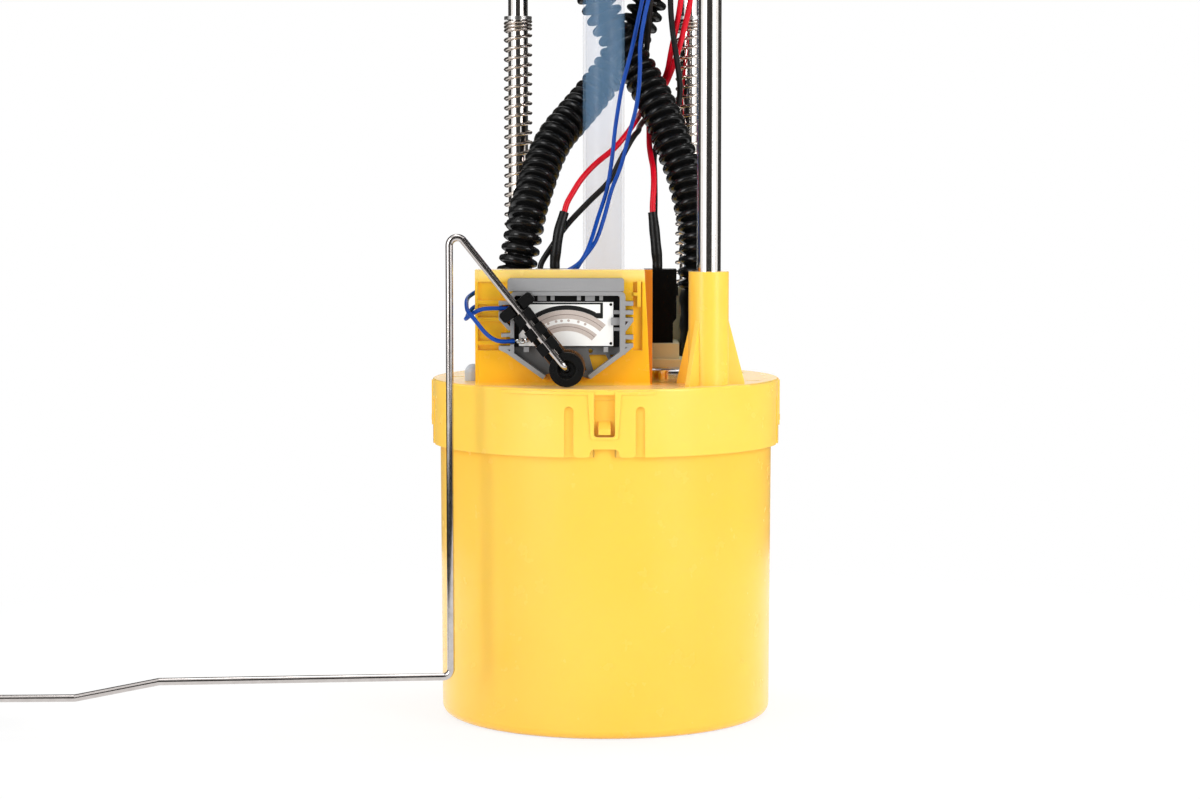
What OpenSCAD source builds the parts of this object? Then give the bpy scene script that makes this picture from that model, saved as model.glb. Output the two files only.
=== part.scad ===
// In-tank fuel pump module: a reservoir bucket with two electric pumps, a level sender with a
// float arm, and a tank flange that slides on spring-loaded guide rods. Millimetres, +Z up,
// -Y is the side with the level sender, origin at the centre of the bucket's base.

/* [Reservoir] */
// Outer radius of the bucket at its rim
bucket_r = 57.5; // [57:0.5:60]
// How much the bucket narrows in radius down to its base
bucket_draft = 0.5; // [0.2:0.1:1]
// Wall of the bucket
bucket_wall = 1.6; // [1.2:0.1:1.8]
// Floor of the bucket
bucket_floor = 2.5; // [2:0.1:4]
// Radius of the bucket's rounded base edge
base_round = 3; // [1.5:0.5:5]
// Height of the lid's top face above the base
lid_top = 116.5; // [112:0.5:122]
// Plate of the lid
lid_plate = 2.2; // [1.8:0.1:3]
// Skirt wall of the lid
lid_wall = 2.3; // [1.8:0.1:3]
// Height of the lid's skirt, from the top face down
lid_skirt = 22.4; // [20:0.2:28]
// How far the bucket's rim stands below the lid's top face
rim_drop = 3.6; // [3.2:0.1:6]
// Width of the tongue of each lid latch, between its two slots
latch_w = 20.4; // [16:0.2:26]

/* [Pumps] */
// Radius of the pump cans
pump_r = 18.5; // [17.5:0.1:18.8]
// Distance of each pump's axis from the middle of the bucket
pump_x = 25; // [24:0.5:26]
// Place of the pump axes from back to front, negative towards the sender
pump_y = -9; // [-10:0.5:-7]
// Steel of the pump cans
can_wall = 1; // [0.8:0.1:1.4]
// Height of the can's lower end above the base
pump_base = 18; // [16:0.5:22]
// How far the cans stand above the lid
pump_stand = 4.9; // [3.5:0.1:8]
// Radius of the motor shafts
shaft_r = 2; // [1.5:0.1:2.5]
// Radius of the hose barbs
barb_r = 4; // [3.6:0.1:4.4]
// Lift of the check valves
valve_lift = 1.5; // [1:0.1:2.5]

/* [Guide rods and springs] */
// Diameter of the two guide rods at the back
rod_d = 7; // [6:0.1:7.4]
// Diameter of the bare rod at the front
front_rod_d = 8; // [7:0.1:8.2]
// Place of the back rods, behind the middle
rod_y = 30; // [29:0.5:31]
// Travel of the flange towards the reservoir
travel = 40; // [20:1:45]
// Wire of the springs
spring_wire = 1; // [0.8:0.1:1.2]
// Outer diameter of the springs
spring_d = 10.2; // [9.8:0.1:11]
// Number of active turns in each spring
spring_turns = 33; // [20:1:36]

/* [Tank flange] */
// Height of the flange's underside above the base
flange_z = 300; // [299:0.5:306]
// Radius of the flange
flange_r = 70; // [70:1:76]
// Thickness of the flange
flange_t = 4; // [3:0.5:6]
// Radius of the flange's collar, which drops into the tank opening
collar_r = 63; // [60:0.5:64]
// Outer diameter of the clear return tube
tube_d = 14.5; // [13:0.1:15]
// Wall of the clear return tube
tube_wall = 1; // [0.8:0.1:1.5]
// Outer radius of the quick-connect nipples on top
nipple_r = 4.75; // [4:0.05:5]

/* [Level sender] */
// Height of the sender tower above the lid
tower_h = 38.4; // [38:0.1:42]
// Diameter of the float arm's wire
arm_d = 2.5; // [2:0.1:2.6]
// Radius of the arm holder's hub
hub_r = 5.7; // [5.2:0.1:5.8]
// Radius of the float
float_r = 11; // [8:0.5:12]
// Length of the float
float_w = 36; // [26:1:37]

/* [Hidden] */
$fn = 64;
over = 1;
// Clearances: a shaft that turns or slides, a piece set in another, and parts that pass free
run_gap = 0.05;
seat_gap = 0.1;
free_gap = 0.35;

lid_gap = 0.2;
lid_r = bucket_r + lid_gap + lid_wall;
skirt_z = lid_top - lid_skirt;
rim_z = lid_top - rim_drop;
lid_under = lid_top - lid_plate;
bucket_in = bucket_r - bucket_wall;
land_w = 3;
edge_round = 0.7;
latch_slot = 3;
latch_slot_top = lid_top - 5.7;
window_w = 6.8;
window_z = lid_top - 15.6;
window_top = lid_top - 1.8;
tooth_w = 4;
tooth_h = 4.9;
tooth_out = lid_r + 0.5;
latch_count = 4;
latch_turn = -0.5;
window_round = 1;
tongue_round = 1.5;
notch_w = 9.2;
notch_h = 2.8;
latch_rim_low = 4.6;
latch_rim_high = 5.5;
band_t = 0.4;
band_drop = 1.8;
band_low = -34.4;
band_high = 16.2;
vent_at = [-45.2, -18];
drain_at = [48, 22];
vent_hole_r = 1.5;
lid_slots = [[[-53.4, -0.3], [-47.2, 1.2]], [[47.7, -18.8], [52.8, -17.6]]];

well_depth = 1.2;
well_r = 9;
valve_y = 33;
valve_stem_r = 1.8;

cuff_r = 6.3;
cuff_h = 22;
hose_r = 6.75;
hose_valley_r = 5.5;
hose_pitch = 3.4;
can_top = lid_top + pump_stand;
can_in = pump_r - can_wall;
roll_in = pump_r - 2.4;
cap_flange_top = can_top + 2.8;
cap_step_top = cap_flange_top + 5.2;
barb_x = 6.5;
barb_y = 3;
valve_seat = can_top - 3;
valve_h = 7;
hose_z = cap_flange_top + cuff_h + 0.8;
cap_in = can_in - seat_gap;
cap_bottom = can_top - 17.4;
inlet_top = pump_base + 5;
rotor_base = inlet_top + 0.6;
core_r = cap_in - 2.7;
magnet_z = pump_base + 24;
magnet_h = 42;
commutator_r = 5.5;
brush_z = magnet_z + magnet_h + 2;
brush_h = 5.8;
plug_x = -6.5;
plug_y = -5.5;
plug_w = 11;
plug_d = 10;
plug_h = 25;
plug_step = 8.5;
plug_top = cap_step_top + plug_h;

isolator_t = 1.5;
cradle_in = pump_r + seat_gap + isolator_t + seat_gap;
cradle_wall = 1.6;
ledge_z = pump_base - 2;

rod_left_x = -31.1;
rod_right_x = 29.9;
rod_sides = [rod_left_x, rod_right_x];
rod_r = rod_d / 2;
boss_r = 6.5;
boss_top = lid_top + 5.5;
boss_bottom = lid_top - 20.5;
clip_t = 1.2;
rod_tail = 6;
collar_z = flange_z - 58.7;
spring_r = (spring_d - spring_wire) / 2;
spring_low = boss_top + spring_wire / 2 + seat_gap;
spring_high = collar_z - spring_wire / 2 - seat_gap;
spring_segments = 9;
spring_sides = 5;
front_rod_angle = 48;
front_rod_reach = lid_r - 8.9;
front_rod = [front_rod_reach * cos(front_rod_angle), -front_rod_reach * sin(front_rod_angle)];
front_rod_r = front_rod_d / 2;
socket_r = 6.7;
socket_top = lid_top + 37.8;
socket_rib_h = 22.4;
socket_rib_out = 12.4;
socket_rib_t = 1.6;
tube_at = [-0.7, 8];
tube_r = tube_d / 2;
tube_low = travel + 32;

flange_top = flange_z + flange_t;
deck_r = 54;
deck_h = 4;
deck_top = flange_top + deck_h;
rod_socket_h = 16;
rod_socket_wall = 3.5;
hose_top_z = flange_z - 18;
outlet_left = [-12, 26];
outlet_right = [18, 38];
connector_at = [24, 0];
connector_w = 26;
connector_d = 18;
connector_h = 17;
lead_end_z = flange_z - 11;
nipple_h = 30;
seal_in = collar_r + 1.6;
seal_w = 2.8;
seal_h = 3;
groove_h = 2;
pin_w = 1.5;
pin_h = 8;

tower_y = 18 - lid_r;
tower_back = -31;
tower_left = -43.5;
tower_right = 14.65;
tower_right_top = 12.9;
tower_wall = 2;
tower_top = lid_top + tower_h;
pivot_x = -13;
pivot_z = lid_top + 6;
frame_y = tower_y - 5.5;
arm_back_y = tower_y - 5.9;
arm_r = arm_d / 2;
arm_y = tower_y - 11;
card_y = tower_y - 2.5;
card_t = 0.8;
card_left = pivot_x - 15.8;
card_right = pivot_x + 15.4;
card_low = pivot_z + 7.4;
card_high = pivot_z + 21.9;
track_t = 0.1;
outer_track = [16.4, 19.3];
inner_track = [12.4, 14.9];
arm_lean = 128.5;
head_r = 26.1;
head_w = 6.4;
arm_bend = 2.6;
float_x = pivot_x - 209;
float_y0 = tower_y - 6;
float_z = pivot_z - 109.3;

lead_r = 1;
blue_r = 0.7;
lead_rows = [9.1, 19.9];
lead_stop = 17.2;
sleeve_r = 1.85;
splice_top = plug_top + 19.2;

// A route as drawn, moved to start and end at its own pieces. What lies between follows by height.
function fitted(p, from, to) = let (first = p[0], last = p[len(p) - 1])
    [for (q = p) let (t = (q[2] - first[2]) / (last[2] - first[2]))
        q + (1 - t) * (from - first) + t * (to - last)];
function barb_end(side) = [side * (pump_x + barb_x), pump_y + barb_y, hose_z];
function splice_end(x, y) = [x < 0 ? x + 25 - pump_x : x + pump_x - 25, y + pump_y + 9, splice_top];
function plug_end(x, y) = [x < 0 ? x + 25 - pump_x : x + pump_x - 25, y + pump_y + 9, plug_top];
function blade_end(x, y) = [connector_at[0] + x, connector_at[1] + y, lead_end_z];

// Routes of the hoses and leads, from the reservoir up to the flange
hose_left_path = fitted([
    [-31.5, -6, 147], [-31.5, -6, 150], [-31.5, -6, 153.5], [-30.6, -5.5, 160], [-29.4, -4, 167.5],
    [-27.7, 0, 175.5], [-24.8, 6, 183.4], [-21.7, 12, 191.4], [-17.5, 18, 199.5], [-11.5, 25, 207],
    [-6.5, 31, 213], [-1, 35, 220], [5, 38, 229], [10.8, 39.5, 238], [14.5, 40, 246], [17, 39.5, 255],
    [18, 38.5, 265], [18, 38, 274], [18, 38, 278], [18, 38, 282]],
    barb_end(-1), [outlet_right[0], outlet_right[1], hose_top_z]);
hose_right_path = fitted([
    [31.5, -6, 147], [31.5, -6, 150], [31.5, -6, 153.5], [31.9, -5.2, 160], [31.5, -3.5, 168],
    [30, -1, 176], [27.6, 3, 186], [23.5, 7.5, 197], [20, 12, 206.5], [16, 17, 215], [11.5, 21, 223],
    [6.5, 23.5, 231], [1, 25, 240], [-3, 25.5, 248], [-7, 26, 258], [-10.5, 26, 267],
    [-12, 26, 274], [-12, 26, 278], [-12, 26, 282]],
    barb_end(1), [outlet_left[0], outlet_left[1], hose_top_z]);
sleeve_left_path = fitted([
    [-17.4, -13.5, 154.4], [-17.4, -13.5, 157], [-16.9, -13.5, 161.5], [-15.9, -12.5, 167.7],
    [-14.2, -11, 173.6]],
    plug_end(-17.4, -13.5), splice_end(-14.2, -11));
sleeve_right_path = fitted([
    [17.6, -13.5, 154.4], [17.6, -13.5, 157], [17.2, -13.5, 161.5], [16.6, -12.8, 167.7],
    [16, -12, 173.6]],
    plug_end(17.6, -13.5), splice_end(16, -12));
red_left_path = fitted([
    [-14.2, -11, 173.6], [-13.3, -10.2, 176.7], [-11.5, -9.5, 180], [-8.3, -7.5, 185],
    [-3.6, -4.5, 190.1], [2.7, -3, 195.3], [6.5, 2, 199], [8.6, 9, 202.5], [8.6, 16.5, 205],
    [9.2, 23.5, 208.5], [13, 28.5, 212.5], [18.5, 29, 217.5], [21.5, 27, 223], [23.2, 22.5, 230.5],
    [25, 18, 239.5], [26.2, 13, 247.3], [27.5, 8, 262], [28, 4, 279], [28, 4, 289]],
    splice_end(-14.2, -11), blade_end(4, 4));
red_right_path = fitted([
    [16, -12, 173.6], [15.7, -11.6, 176.5], [15.9, -9.5, 185], [16, -4, 192], [15.2, 4.5, 198.5],
    [12.4, 14.5, 204.5], [12.4, 21.8, 208.5], [16.5, 26.4, 213.5], [21.5, 24.5, 219], [24.5, 21.5, 226.7],
    [27.4, 18, 237], [29.6, 14.8, 247.3], [31, 9, 262], [32, 4, 279], [32, 4, 289]],
    splice_end(16, -12), blade_end(8, 4));
black_left_path = fitted([
    [-22.5, -11.5, 154.4], [-22.5, -11.5, 157], [-20.8, -10.5, 161], [-13.5, -8.8, 169],
    [-6, -7, 177], [1, -5.5, 184], [4.8, -4, 191], [8, -2.5, 197], [10.5, 0, 201], [12, 6, 205],
    [10.5, 12, 208.5], [6.5, 17.5, 212], [6, 24.5, 216.5], [9, 31.2, 222], [14.2, 29, 228], [15, 24, 236],
    [15.4, 16, 244], [15.8, 9, 252], [18, 5, 264], [20, 4, 279], [20, 4, 289]],
    plug_end(-22.5, -11.5), blade_end(-4, 4));
black_right_path = fitted([
    [21.5, -11.5, 154.4], [21.5, -11.5, 157], [22, -6, 165], [21, 4, 177], [22.5, 14, 190],
    [26, 19.5, 200], [27.3, 20.5, 206], [26.8, 20, 212], [25.6, 19.6, 218], [24.2, 18, 228],
    [23.4, 16.2, 237], [22.6, 13, 247], [23, 8, 262], [24, 4, 279], [24, 4, 289]],
    plug_end(21.5, -11.5), blade_end(0, 4));
blue_front_path = fitted([
    [-29, -46, 131.2], [-34.4, -46, 131.2], [-38.3, -47, 133.6], [-42.3, -47.6, 138.5],
    [-44.8, -46.8, 142.4], [-46, -42.5, 145.5], [-45.8, -36, 148.3], [-44.4, -31, 149.6],
    [-40.5, -29.2, 150.4], [-26, -29, 151.6], [-14.5, -29.5, 153], [-8.6, -30.5, 156],
    [-5.9, -29.5, 159.5], [-3.9, -25.5, 164.5], [-1.7, -18.6, 171.8], [1.2, -13, 181.2],
    [2.9, -10, 192.1],
    [3.9, -9, 202.2], [5.8, -9, 214.7], [7.9, -8, 223.3], [9.6, -7, 230.3], [11.9, -5, 241.4],
    [13.9, -4, 251], [17.5, -4, 265], [20, -4, 279], [20, -4, 289]],
    [pivot_x - lead_stop, tower_y - 4, pivot_z + lead_rows[0]], blade_end(-4, -4));
blue_rear_path = fitted([
    [-29, -46, 142.5], [-34, -46, 142.5], [-39.5, -45.6, 142.2], [-43.4, -44, 140.6],
    [-47.3, -41.5, 139.4], [-48, -37, 140.5], [-45.4, -31, 143], [-41, -29.1, 145], [-26, -29, 147.6],
    [-18, -28.8, 149.5], [-10.6, -28.3, 153], [-6.8, -27.3, 158], [-2.5, -22.8, 164], [0.3, -18.5, 171.8],
    [2.8, -15, 181.2], [6, -12.5, 189.7], [8.6, -11, 200], [10.8, -10, 208.5], [11.9, -10, 216.3],
    [12.2, -9, 223.3], [12.2, -9, 230.3], [13.4, -8.5, 239], [15.4, -8, 248], [20, -7.5, 264],
    [24, -4, 279], [24, -4, 289]],
    [pivot_x - lead_stop, tower_y - 4, pivot_z + lead_rows[1]], blade_end(0, -4));

// Colours of the finishes
yellow = [1, 0.78, 0.25];
black = [0.06, 0.06, 0.07];
grey = [0.45, 0.47, 0.48];
cream = [0.86, 0.84, 0.72];
steel = [0.75, 0.74, 0.73];
copper = [0.78, 0.45, 0.25];

// A ring-shaped tube standing on z = 0
module pipe(outer, inner, h)
{
    difference() {
        cylinder(r = outer, h = h);
        translate([0, 0, -over]) cylinder(r = inner, h = h + 2 * over);
    }
}

// An upright outline in X and Z, given depth from plane y towards the front
module facing(y, depth)
{
    translate([0, y, 0]) rotate([90, 0, 0]) linear_extrude(height = depth) children();
}

// A flat rectangle between two corners
module area(low, high)
{
    translate(low) square(high - low);
}

// A box between two corners
module block(low, high)
{
    translate(low) cube(high - low);
}

// A flat rectangle whose two upper corners are rounded
module rounded_top(low, high, r)
{
    area(low, [high[0], high[1] - r]);
    area([low[0] + r, low[1]], [high[0] - r, high[1]]);
    for (x = [low[0] + r, high[0] - r]) translate([x, high[1] - r]) circle(r = r);
}

// A strip of width w along a line between two points of an outline
module strip(a, b, w)
{
    run = b - a;
    translate(a) rotate(atan2(run[1], run[0])) translate([0, -w / 2]) square([norm(run), w]);
}

// Functions that carry a round section along a route
function unit(v) = v / norm(v);
function tangent(p, i) = unit(p[min(i + 1, len(p) - 1)] - p[max(i - 1, 0)]);
function square_to(n, t) = unit(n - (n * t) * t);
function sides_of(p, i, n) =
    i == len(p) ? [] :
    let (next = square_to(n, tangent(p, i))) concat([next], sides_of(p, i + 1, next));
function curve_at(a, b, c, d, t) =
    0.5 * ((2 * b) + (c - a) * t + (2 * a - 5 * b + 4 * c - d) * t * t
        + (3 * b - a - 3 * c + d) * t * t * t);
function smooth(p, steps) = concat(
    [for (i = [0 : len(p) - 2], k = [0 : steps - 1])
        curve_at(p[max(i - 1, 0)], p[i], p[i + 1], p[min(i + 2, len(p) - 1)], k / steps)],
    [p[len(p) - 1]]);
function run_lengths(p, i = 0, sum = 0) =
    i == len(p) - 1 ? [sum] :
    concat([sum], run_lengths(p, i + 1, sum + norm(p[i + 1] - p[i])));
function leg_at(runs, s, i = 0) = i >= len(runs) - 2 || runs[i + 1] > s ? i : leg_at(runs, s, i + 1);
function place_at(p, runs, s) =
    let (i = leg_at(runs, s)) p[i] + (p[i + 1] - p[i]) * (s - runs[i]) / (runs[i + 1] - runs[i]);
function even(p, count) =
    let (runs = run_lengths(p)) [for (k = [0 : count]) place_at(p, runs, runs[len(p) - 1] * k / count)];
function total(p) = let (runs = run_lengths(p)) runs[len(runs) - 1];

// A closed tube round the route p, with one radius per ring
module swept(p, radii, sides, seed = [0, 1, 0])
{
    normals = sides_of(p, 0, seed);
    points = [for (i = [0 : len(p) - 1], k = [0 : sides - 1])
        let (n = normals[i], b = cross(tangent(p, i), n), a = 360 * k / sides)
        p[i] + radii[i] * (cos(a) * n + sin(a) * b)];
    last = (len(p) - 1) * sides;
    faces = concat(
        [[for (k = [0 : sides - 1]) k]],
        [for (i = [0 : len(p) - 2], k = [0 : sides - 1])
            let (a = i * sides + k, b = i * sides + (k + 1) % sides, far = b + sides)
                each [[a, a + sides, far], [a, far, b]]],
        [[for (k = [sides - 1 : -1 : 0]) last + k]]);
    polyhedron(points = points, faces = faces);
}

// A plain lead along its own points
module lead(p, r, sides = 8)
{
    swept(p, [for (q = p) r], sides);
}

// A corrugated hose: crests and valleys by turns along the smoothed route
module corrugated(p)
{
    line = smooth(p, 4);
    count = 2 * round(total(line) / hose_pitch);
    rings = even(line, count);
    swept(rings, [for (i = [0 : count]) i % 2 == 0 ? hose_valley_r : hose_r], 10);
}

// A bent wire whose corners are rounded, along its own points
function bend_at(a, b, c, r) =
    let (u = unit(a - b), v = unit(c - b), half = acos(max(-1, min(1, u * v))) / 2,
        reach = r / tan(half), middle = b + unit(u + v) * r / sin(half),
        from = b + u * reach - middle, to = b + v * reach - middle, turn = 180 - 2 * half,
        steps = max(2, ceil(turn / 22)))
    [for (k = [0 : steps])
        middle + (sin(turn * (1 - k / steps)) * from + sin(turn * k / steps) * to) / sin(turn)];
function rounded(p, r) = concat([p[0]],
    [for (i = [1 : len(p) - 2], q = bend_at(p[i - 1], p[i], p[i + 1], r)) q], [p[len(p) - 1]]);

// Reservoir

module bucket_profile()
{
    base_r = bucket_r - bucket_draft;
    difference() {
        union() {
            polygon([[0, 0], [base_r - base_round, 0], [base_r - base_round, base_round],
                [base_r, base_round], [bucket_r, rim_z], [0, rim_z]]);
            translate([base_r - base_round, base_round]) circle(r = base_round);
        }
        polygon([[-over, bucket_floor], [base_r - bucket_wall, bucket_floor],
            [bucket_in, rim_z + over], [-over, rim_z + over]]);
        area([-base_r, -over], [0, rim_z]);
    }
}

module both_sides()
{
    children();
    mirror([1, 0, 0]) children();
}

module at_latches()
{
    for (i = [0 : latch_count - 1]) rotate([0, 0, latch_turn + i * 360 / latch_count]) children();
}

module latch_tooth()
{
    top = window_z + 0.8 + tooth_h;
    translate([-tooth_w / 2, 0, 0]) rotate([90, 0, 90]) linear_extrude(height = tooth_w)
        polygon([[-bucket_r + bucket_wall / 2, window_z + 0.8], [-tooth_out, window_z + 0.8],
            [-tooth_out, top - 3], [-bucket_r + bucket_wall / 2, top]]);
}

module cradle()
{
    difference() {
        translate([0, 0, bucket_floor - 0.5])
            cylinder(r = cradle_in + cradle_wall, h = pump_base + 8 - bucket_floor + 0.5);
        translate([0, 0, bucket_floor]) cylinder(r = pump_r - 1.5, h = pump_base + 10);
        translate([0, 0, ledge_z]) cylinder(r = cradle_in, h = pump_base);
        for (a = [45 : 90 : 315]) rotate([0, 0, a])
            block([pump_r - 3, -4, bucket_floor], [cradle_in + cradle_wall + over, 4, ledge_z - 4]);
    }
}

module reservoir_bucket()
{
    color(yellow) difference() {
        union() {
            rotate_extrude() bucket_profile();
            for (side = [-1, 1]) translate([side * pump_x, pump_y, 0]) cradle();
            at_latches() latch_tooth();
        }
        // Well under the fill valve, open to the rear edge so that fuel reaches it
        translate([0, valve_y, -over]) cylinder(r = well_r, h = well_depth + over);
        block([-well_r, valve_y, -over], [well_r, bucket_r + over, well_depth]);
        translate([0, valve_y, -over]) {
            cylinder(r = valve_stem_r + seat_gap, h = bucket_floor + 2 * over);
            for (a = [0 : 90 : 270]) rotate([0, 0, a]) translate([4.6, 0, 0])
                cylinder(r = 1.3, h = bucket_floor + 2 * over);
        }
    }
}

module fill_valve()
{
    color(black) translate([0, valve_y, 0]) rotate_extrude() union() {
        area([0, 0.2], [valve_stem_r, bucket_floor + 0.5]);
        area([0, 0.2], [valve_stem_r + 1, well_depth]);
        polygon([[0, bucket_floor], [7, bucket_floor], [7, bucket_floor + 0.7],
            [2.4, bucket_floor + 2], [0, bucket_floor + 2]]);
    }
}

// The half of a latch's outline that is cut away: window, slot, and notch round the tongue's leg
module half_latch()
{
    slot_x = (latch_w + latch_slot) / 2;
    slot_end = latch_slot_top - latch_slot / 2;
    side = window_w / 2;
    leg = notch_w / 2;
    fillet = notch_h - tongue_round;
    area([-over, window_z + window_round], [side, window_top]);
    area([-over, window_z], [side - window_round, window_top]);
    translate([side - window_round, window_z + window_round]) circle(r = window_round);
    area([slot_x - latch_slot / 2, skirt_z - over], [slot_x + latch_slot / 2, slot_end]);
    translate([slot_x, slot_end]) circle(r = latch_slot / 2);
    difference() {
        area([-over, skirt_z - over], [slot_x, skirt_z + notch_h]);
        area([leg + tongue_round, skirt_z], [latch_w / 2 - tongue_round, lid_top]);
        area([leg, skirt_z + tongue_round], [latch_w / 2, lid_top]);
        for (x = [leg + tongue_round, latch_w / 2 - tongue_round]) translate([x, skirt_z + tongue_round])
            circle(r = tongue_round);
        difference() {
            area([leg - fillet, skirt_z + tongue_round], [leg + over, lid_top]);
            translate([leg - fillet, skirt_z + tongue_round]) circle(r = fillet);
        }
    }
}

// Cuts of one latch, at the front
module latch_cuts()
{
    both_sides() facing(-(bucket_r + lid_gap / 2), lid_wall + 4) half_latch();
}

// Half of the low rim round a latch's window, wider at the top
module half_rim()
{
    low = window_z - 0.8;
    polygon([[-over, low], [latch_rim_low - window_round, low], [latch_rim_low, low + window_round],
        [latch_rim_high, window_top], [latch_rim_high, lid_top], [window_w / 2, lid_top],
        [window_w / 2, window_top], [-over, window_top]]);
    translate([latch_rim_low - window_round, low + window_round]) circle(r = window_round);
}

module lid_profile()
{
    difference() {
        union() {
            area([0, skirt_z], [lid_r, lid_top - edge_round]);
            area([0, skirt_z], [lid_r - edge_round, lid_top]);
            translate([lid_r - edge_round, lid_top - edge_round]) circle(r = edge_round);
        }
        area([-over, skirt_z - over], [bucket_r + lid_gap, rim_z]);
        area([-over, skirt_z - over], [bucket_in - land_w, lid_under]);
    }
}

// Low rims round the latches' windows, and a low band at both sides of the front one
module lid_rims()
{
    intersection() {
        translate([0, 0, skirt_z]) pipe(lid_r + band_t, lid_r - 1, lid_skirt - edge_round);
        union() {
            at_latches() both_sides() facing(0, lid_r + over) half_rim();
            facing(0, lid_r + over) for (x = [[band_low, -latch_rim_low], [latch_rim_low, band_high]])
                area([x[0], lid_top - band_drop], [x[1], lid_top]);
        }
    }
}

module socket_rib()
{
    rotate([90, 0, 0]) translate([0, 0, -socket_rib_t / 2]) linear_extrude(height = socket_rib_t)
        polygon([[0, lid_top - 0.5], [socket_rib_out, lid_top - 0.5], [socket_rib_out, lid_top + 0.8],
            [socket_r - 0.2, lid_top + socket_rib_h], [0, lid_top + socket_rib_h]]);
}

module tower_shell()
{
    back = tower_y - tower_back;
    difference() {
        facing(tower_back, -back)
            polygon([[tower_left, lid_top - 0.5], [tower_left, tower_top], [tower_right_top, tower_top],
                [tower_right, lid_top - 0.5]]);
        facing(tower_back + over, -back - tower_wall + over)
            polygon([[tower_left + tower_wall, lid_top], [tower_left + tower_wall, tower_top - tower_wall],
                [tower_right_top - tower_wall, tower_top - tower_wall],
                [tower_right - tower_wall, lid_top]]);
        // Shallow pockets beside the sender frame
        facing(tower_y + 1.2, 1.2 + over) {
            area([tower_left + 1, pivot_z + 5.8], [-33.2, tower_top - 4]);
            area([8.9, pivot_z + 5.8], [12, tower_top - 4]);
        }
    }
    // Stiffening ribs behind the front wall
    for (x = [-30, -12, 4])
        block([x, tower_y + 1, lid_top - 0.5], [x + 1.6, tower_back - 2, tower_top - 1]);
    // Guide ribs in the pockets
    for (dz = [26, 20.4, 12.6, 8.2]) block([tower_left + 0.6, tower_y, pivot_z + dz - 5],
        [-33.6, tower_y + 1.4, pivot_z + dz - 3.7]);
    block([10.3, tower_y - 0.6, pivot_z + 20.2], [11.6, tower_y + 1.4, pivot_z + 28.8]);
    block([9, tower_y - 0.6, pivot_z + 23.9], [11.6, tower_y + 1.4, pivot_z + 25]);
    // Side post that carries the catch of the sender frame
    block([tower_right_top - 1.5, tower_y + 3.5, lid_top - 0.5],
        [tower_right + 0.8, tower_y + 5.5, tower_top]);
}

module reservoir_lid()
{
    color(yellow) difference() {
        union() {
            difference() {
                union() {
                    rotate_extrude() lid_profile();
                    lid_rims();
                }
                at_latches() latch_cuts();
                for (side = [-1, 1]) translate([side * pump_x, pump_y, lid_under - over])
                    cylinder(r = pump_r + free_gap, h = lid_plate + 2 * over);
            }
            intersection() {
                tower_shell();
                cylinder(r = lid_r - 0.4, h = tower_top + over);
            }
            translate([front_rod[0], front_rod[1], 0]) {
                translate([0, 0, lid_under]) cylinder(r = socket_r, h = socket_top - lid_under);
                intersection() {
                    for (a = [15, 143, 233]) rotate([0, 0, a]) socket_rib();
                    translate([-front_rod[0], -front_rod[1], 0]) cylinder(r = lid_r - 0.4, h = socket_top);
                }
            }
            for (x = rod_sides) translate([x, rod_y, boss_bottom])
                cylinder(r = boss_r, h = boss_top - boss_bottom);
        }
        translate([front_rod[0], front_rod[1], rim_z - over])
            cylinder(r = front_rod_r + run_gap, h = socket_top);
        for (x = rod_sides) translate([x, rod_y, boss_bottom - over])
            cylinder(r = rod_r + run_gap, h = boss_top - boss_bottom + 2 * over);
        translate([tube_at[0], tube_at[1], lid_under - over])
            cylinder(r = tube_r + free_gap, h = lid_plate + 2 * over);
        for (at = [vent_at, drain_at]) translate([at[0], at[1], lid_under - over])
            cylinder(r = vent_hole_r, h = lid_plate + 2 * over);
        for (slot = lid_slots) translate([0, 0, lid_under - over])
            linear_extrude(height = lid_plate + 2 * over) area(slot[0], slot[1]);
    }
}

module vent_cap()
{
    color(grey) translate([vent_at[0], vent_at[1], lid_top]) rotate_extrude() difference() {
        union() {
            area([0, 0], [2.9, 2.8]);
            translate([0, 2.8]) circle(r = 2.9);
            area([0, -lid_plate - 1], [vent_hole_r - seat_gap, 0]);
        }
        area([-10, -10], [0, 10]);
    }
}

// Pumps: each module below is drawn for the right pump about its own axis

module on_pump(side)
{
    translate([side * pump_x, pump_y, 0]) if (side > 0) children(); else mirror([1, 0, 0]) children();
}

module pump_can()
{
    color(steel) rotate_extrude() difference() {
        union() {
            area([0, pump_base + 1.5], [pump_r, can_top - 2]);
            area([0, pump_base], [pump_r - 1.5, can_top]);
            translate([pump_r - 2, can_top - 2]) circle(r = 2);
            translate([pump_r - 1.5, pump_base + 1.5]) circle(r = 1.5);
        }
        area([-over, pump_base + can_wall], [can_in, can_top - 2.2]);
        area([-over, pump_base - over], [roll_in, can_top + over]);
        area([-pump_r, pump_base - over], [0, can_top + over]);
    }
}

module pump_magnets()
{
    color(black) translate([0, 0, magnet_z]) difference() {
        pipe(cap_in - 0.1, cap_in - 2, magnet_h);
        for (a = [90, 270]) rotate([0, 0, a]) block([0, -7, -over], [pump_r, 7, magnet_h + over]);
    }
}

module inlet_cover()
{
    color(grey) difference() {
        union() {
            translate([0, 0, pump_base + can_wall])
                cylinder(r = cap_in, h = inlet_top - pump_base - can_wall);
            translate([0, 0, inlet_top - 0.2]) pipe(cap_in, core_r + 0.4, 6);
            translate([7, 0, 12]) cylinder(r = barb_r + 0.5, h = pump_base - 10);
        }
        translate([7, 0, 12 - over]) cylinder(r = barb_r - 1, h = inlet_top);
        translate([0, 0, pump_base + 2]) cylinder(r = shaft_r + run_gap, h = 10);
    }
}

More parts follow.
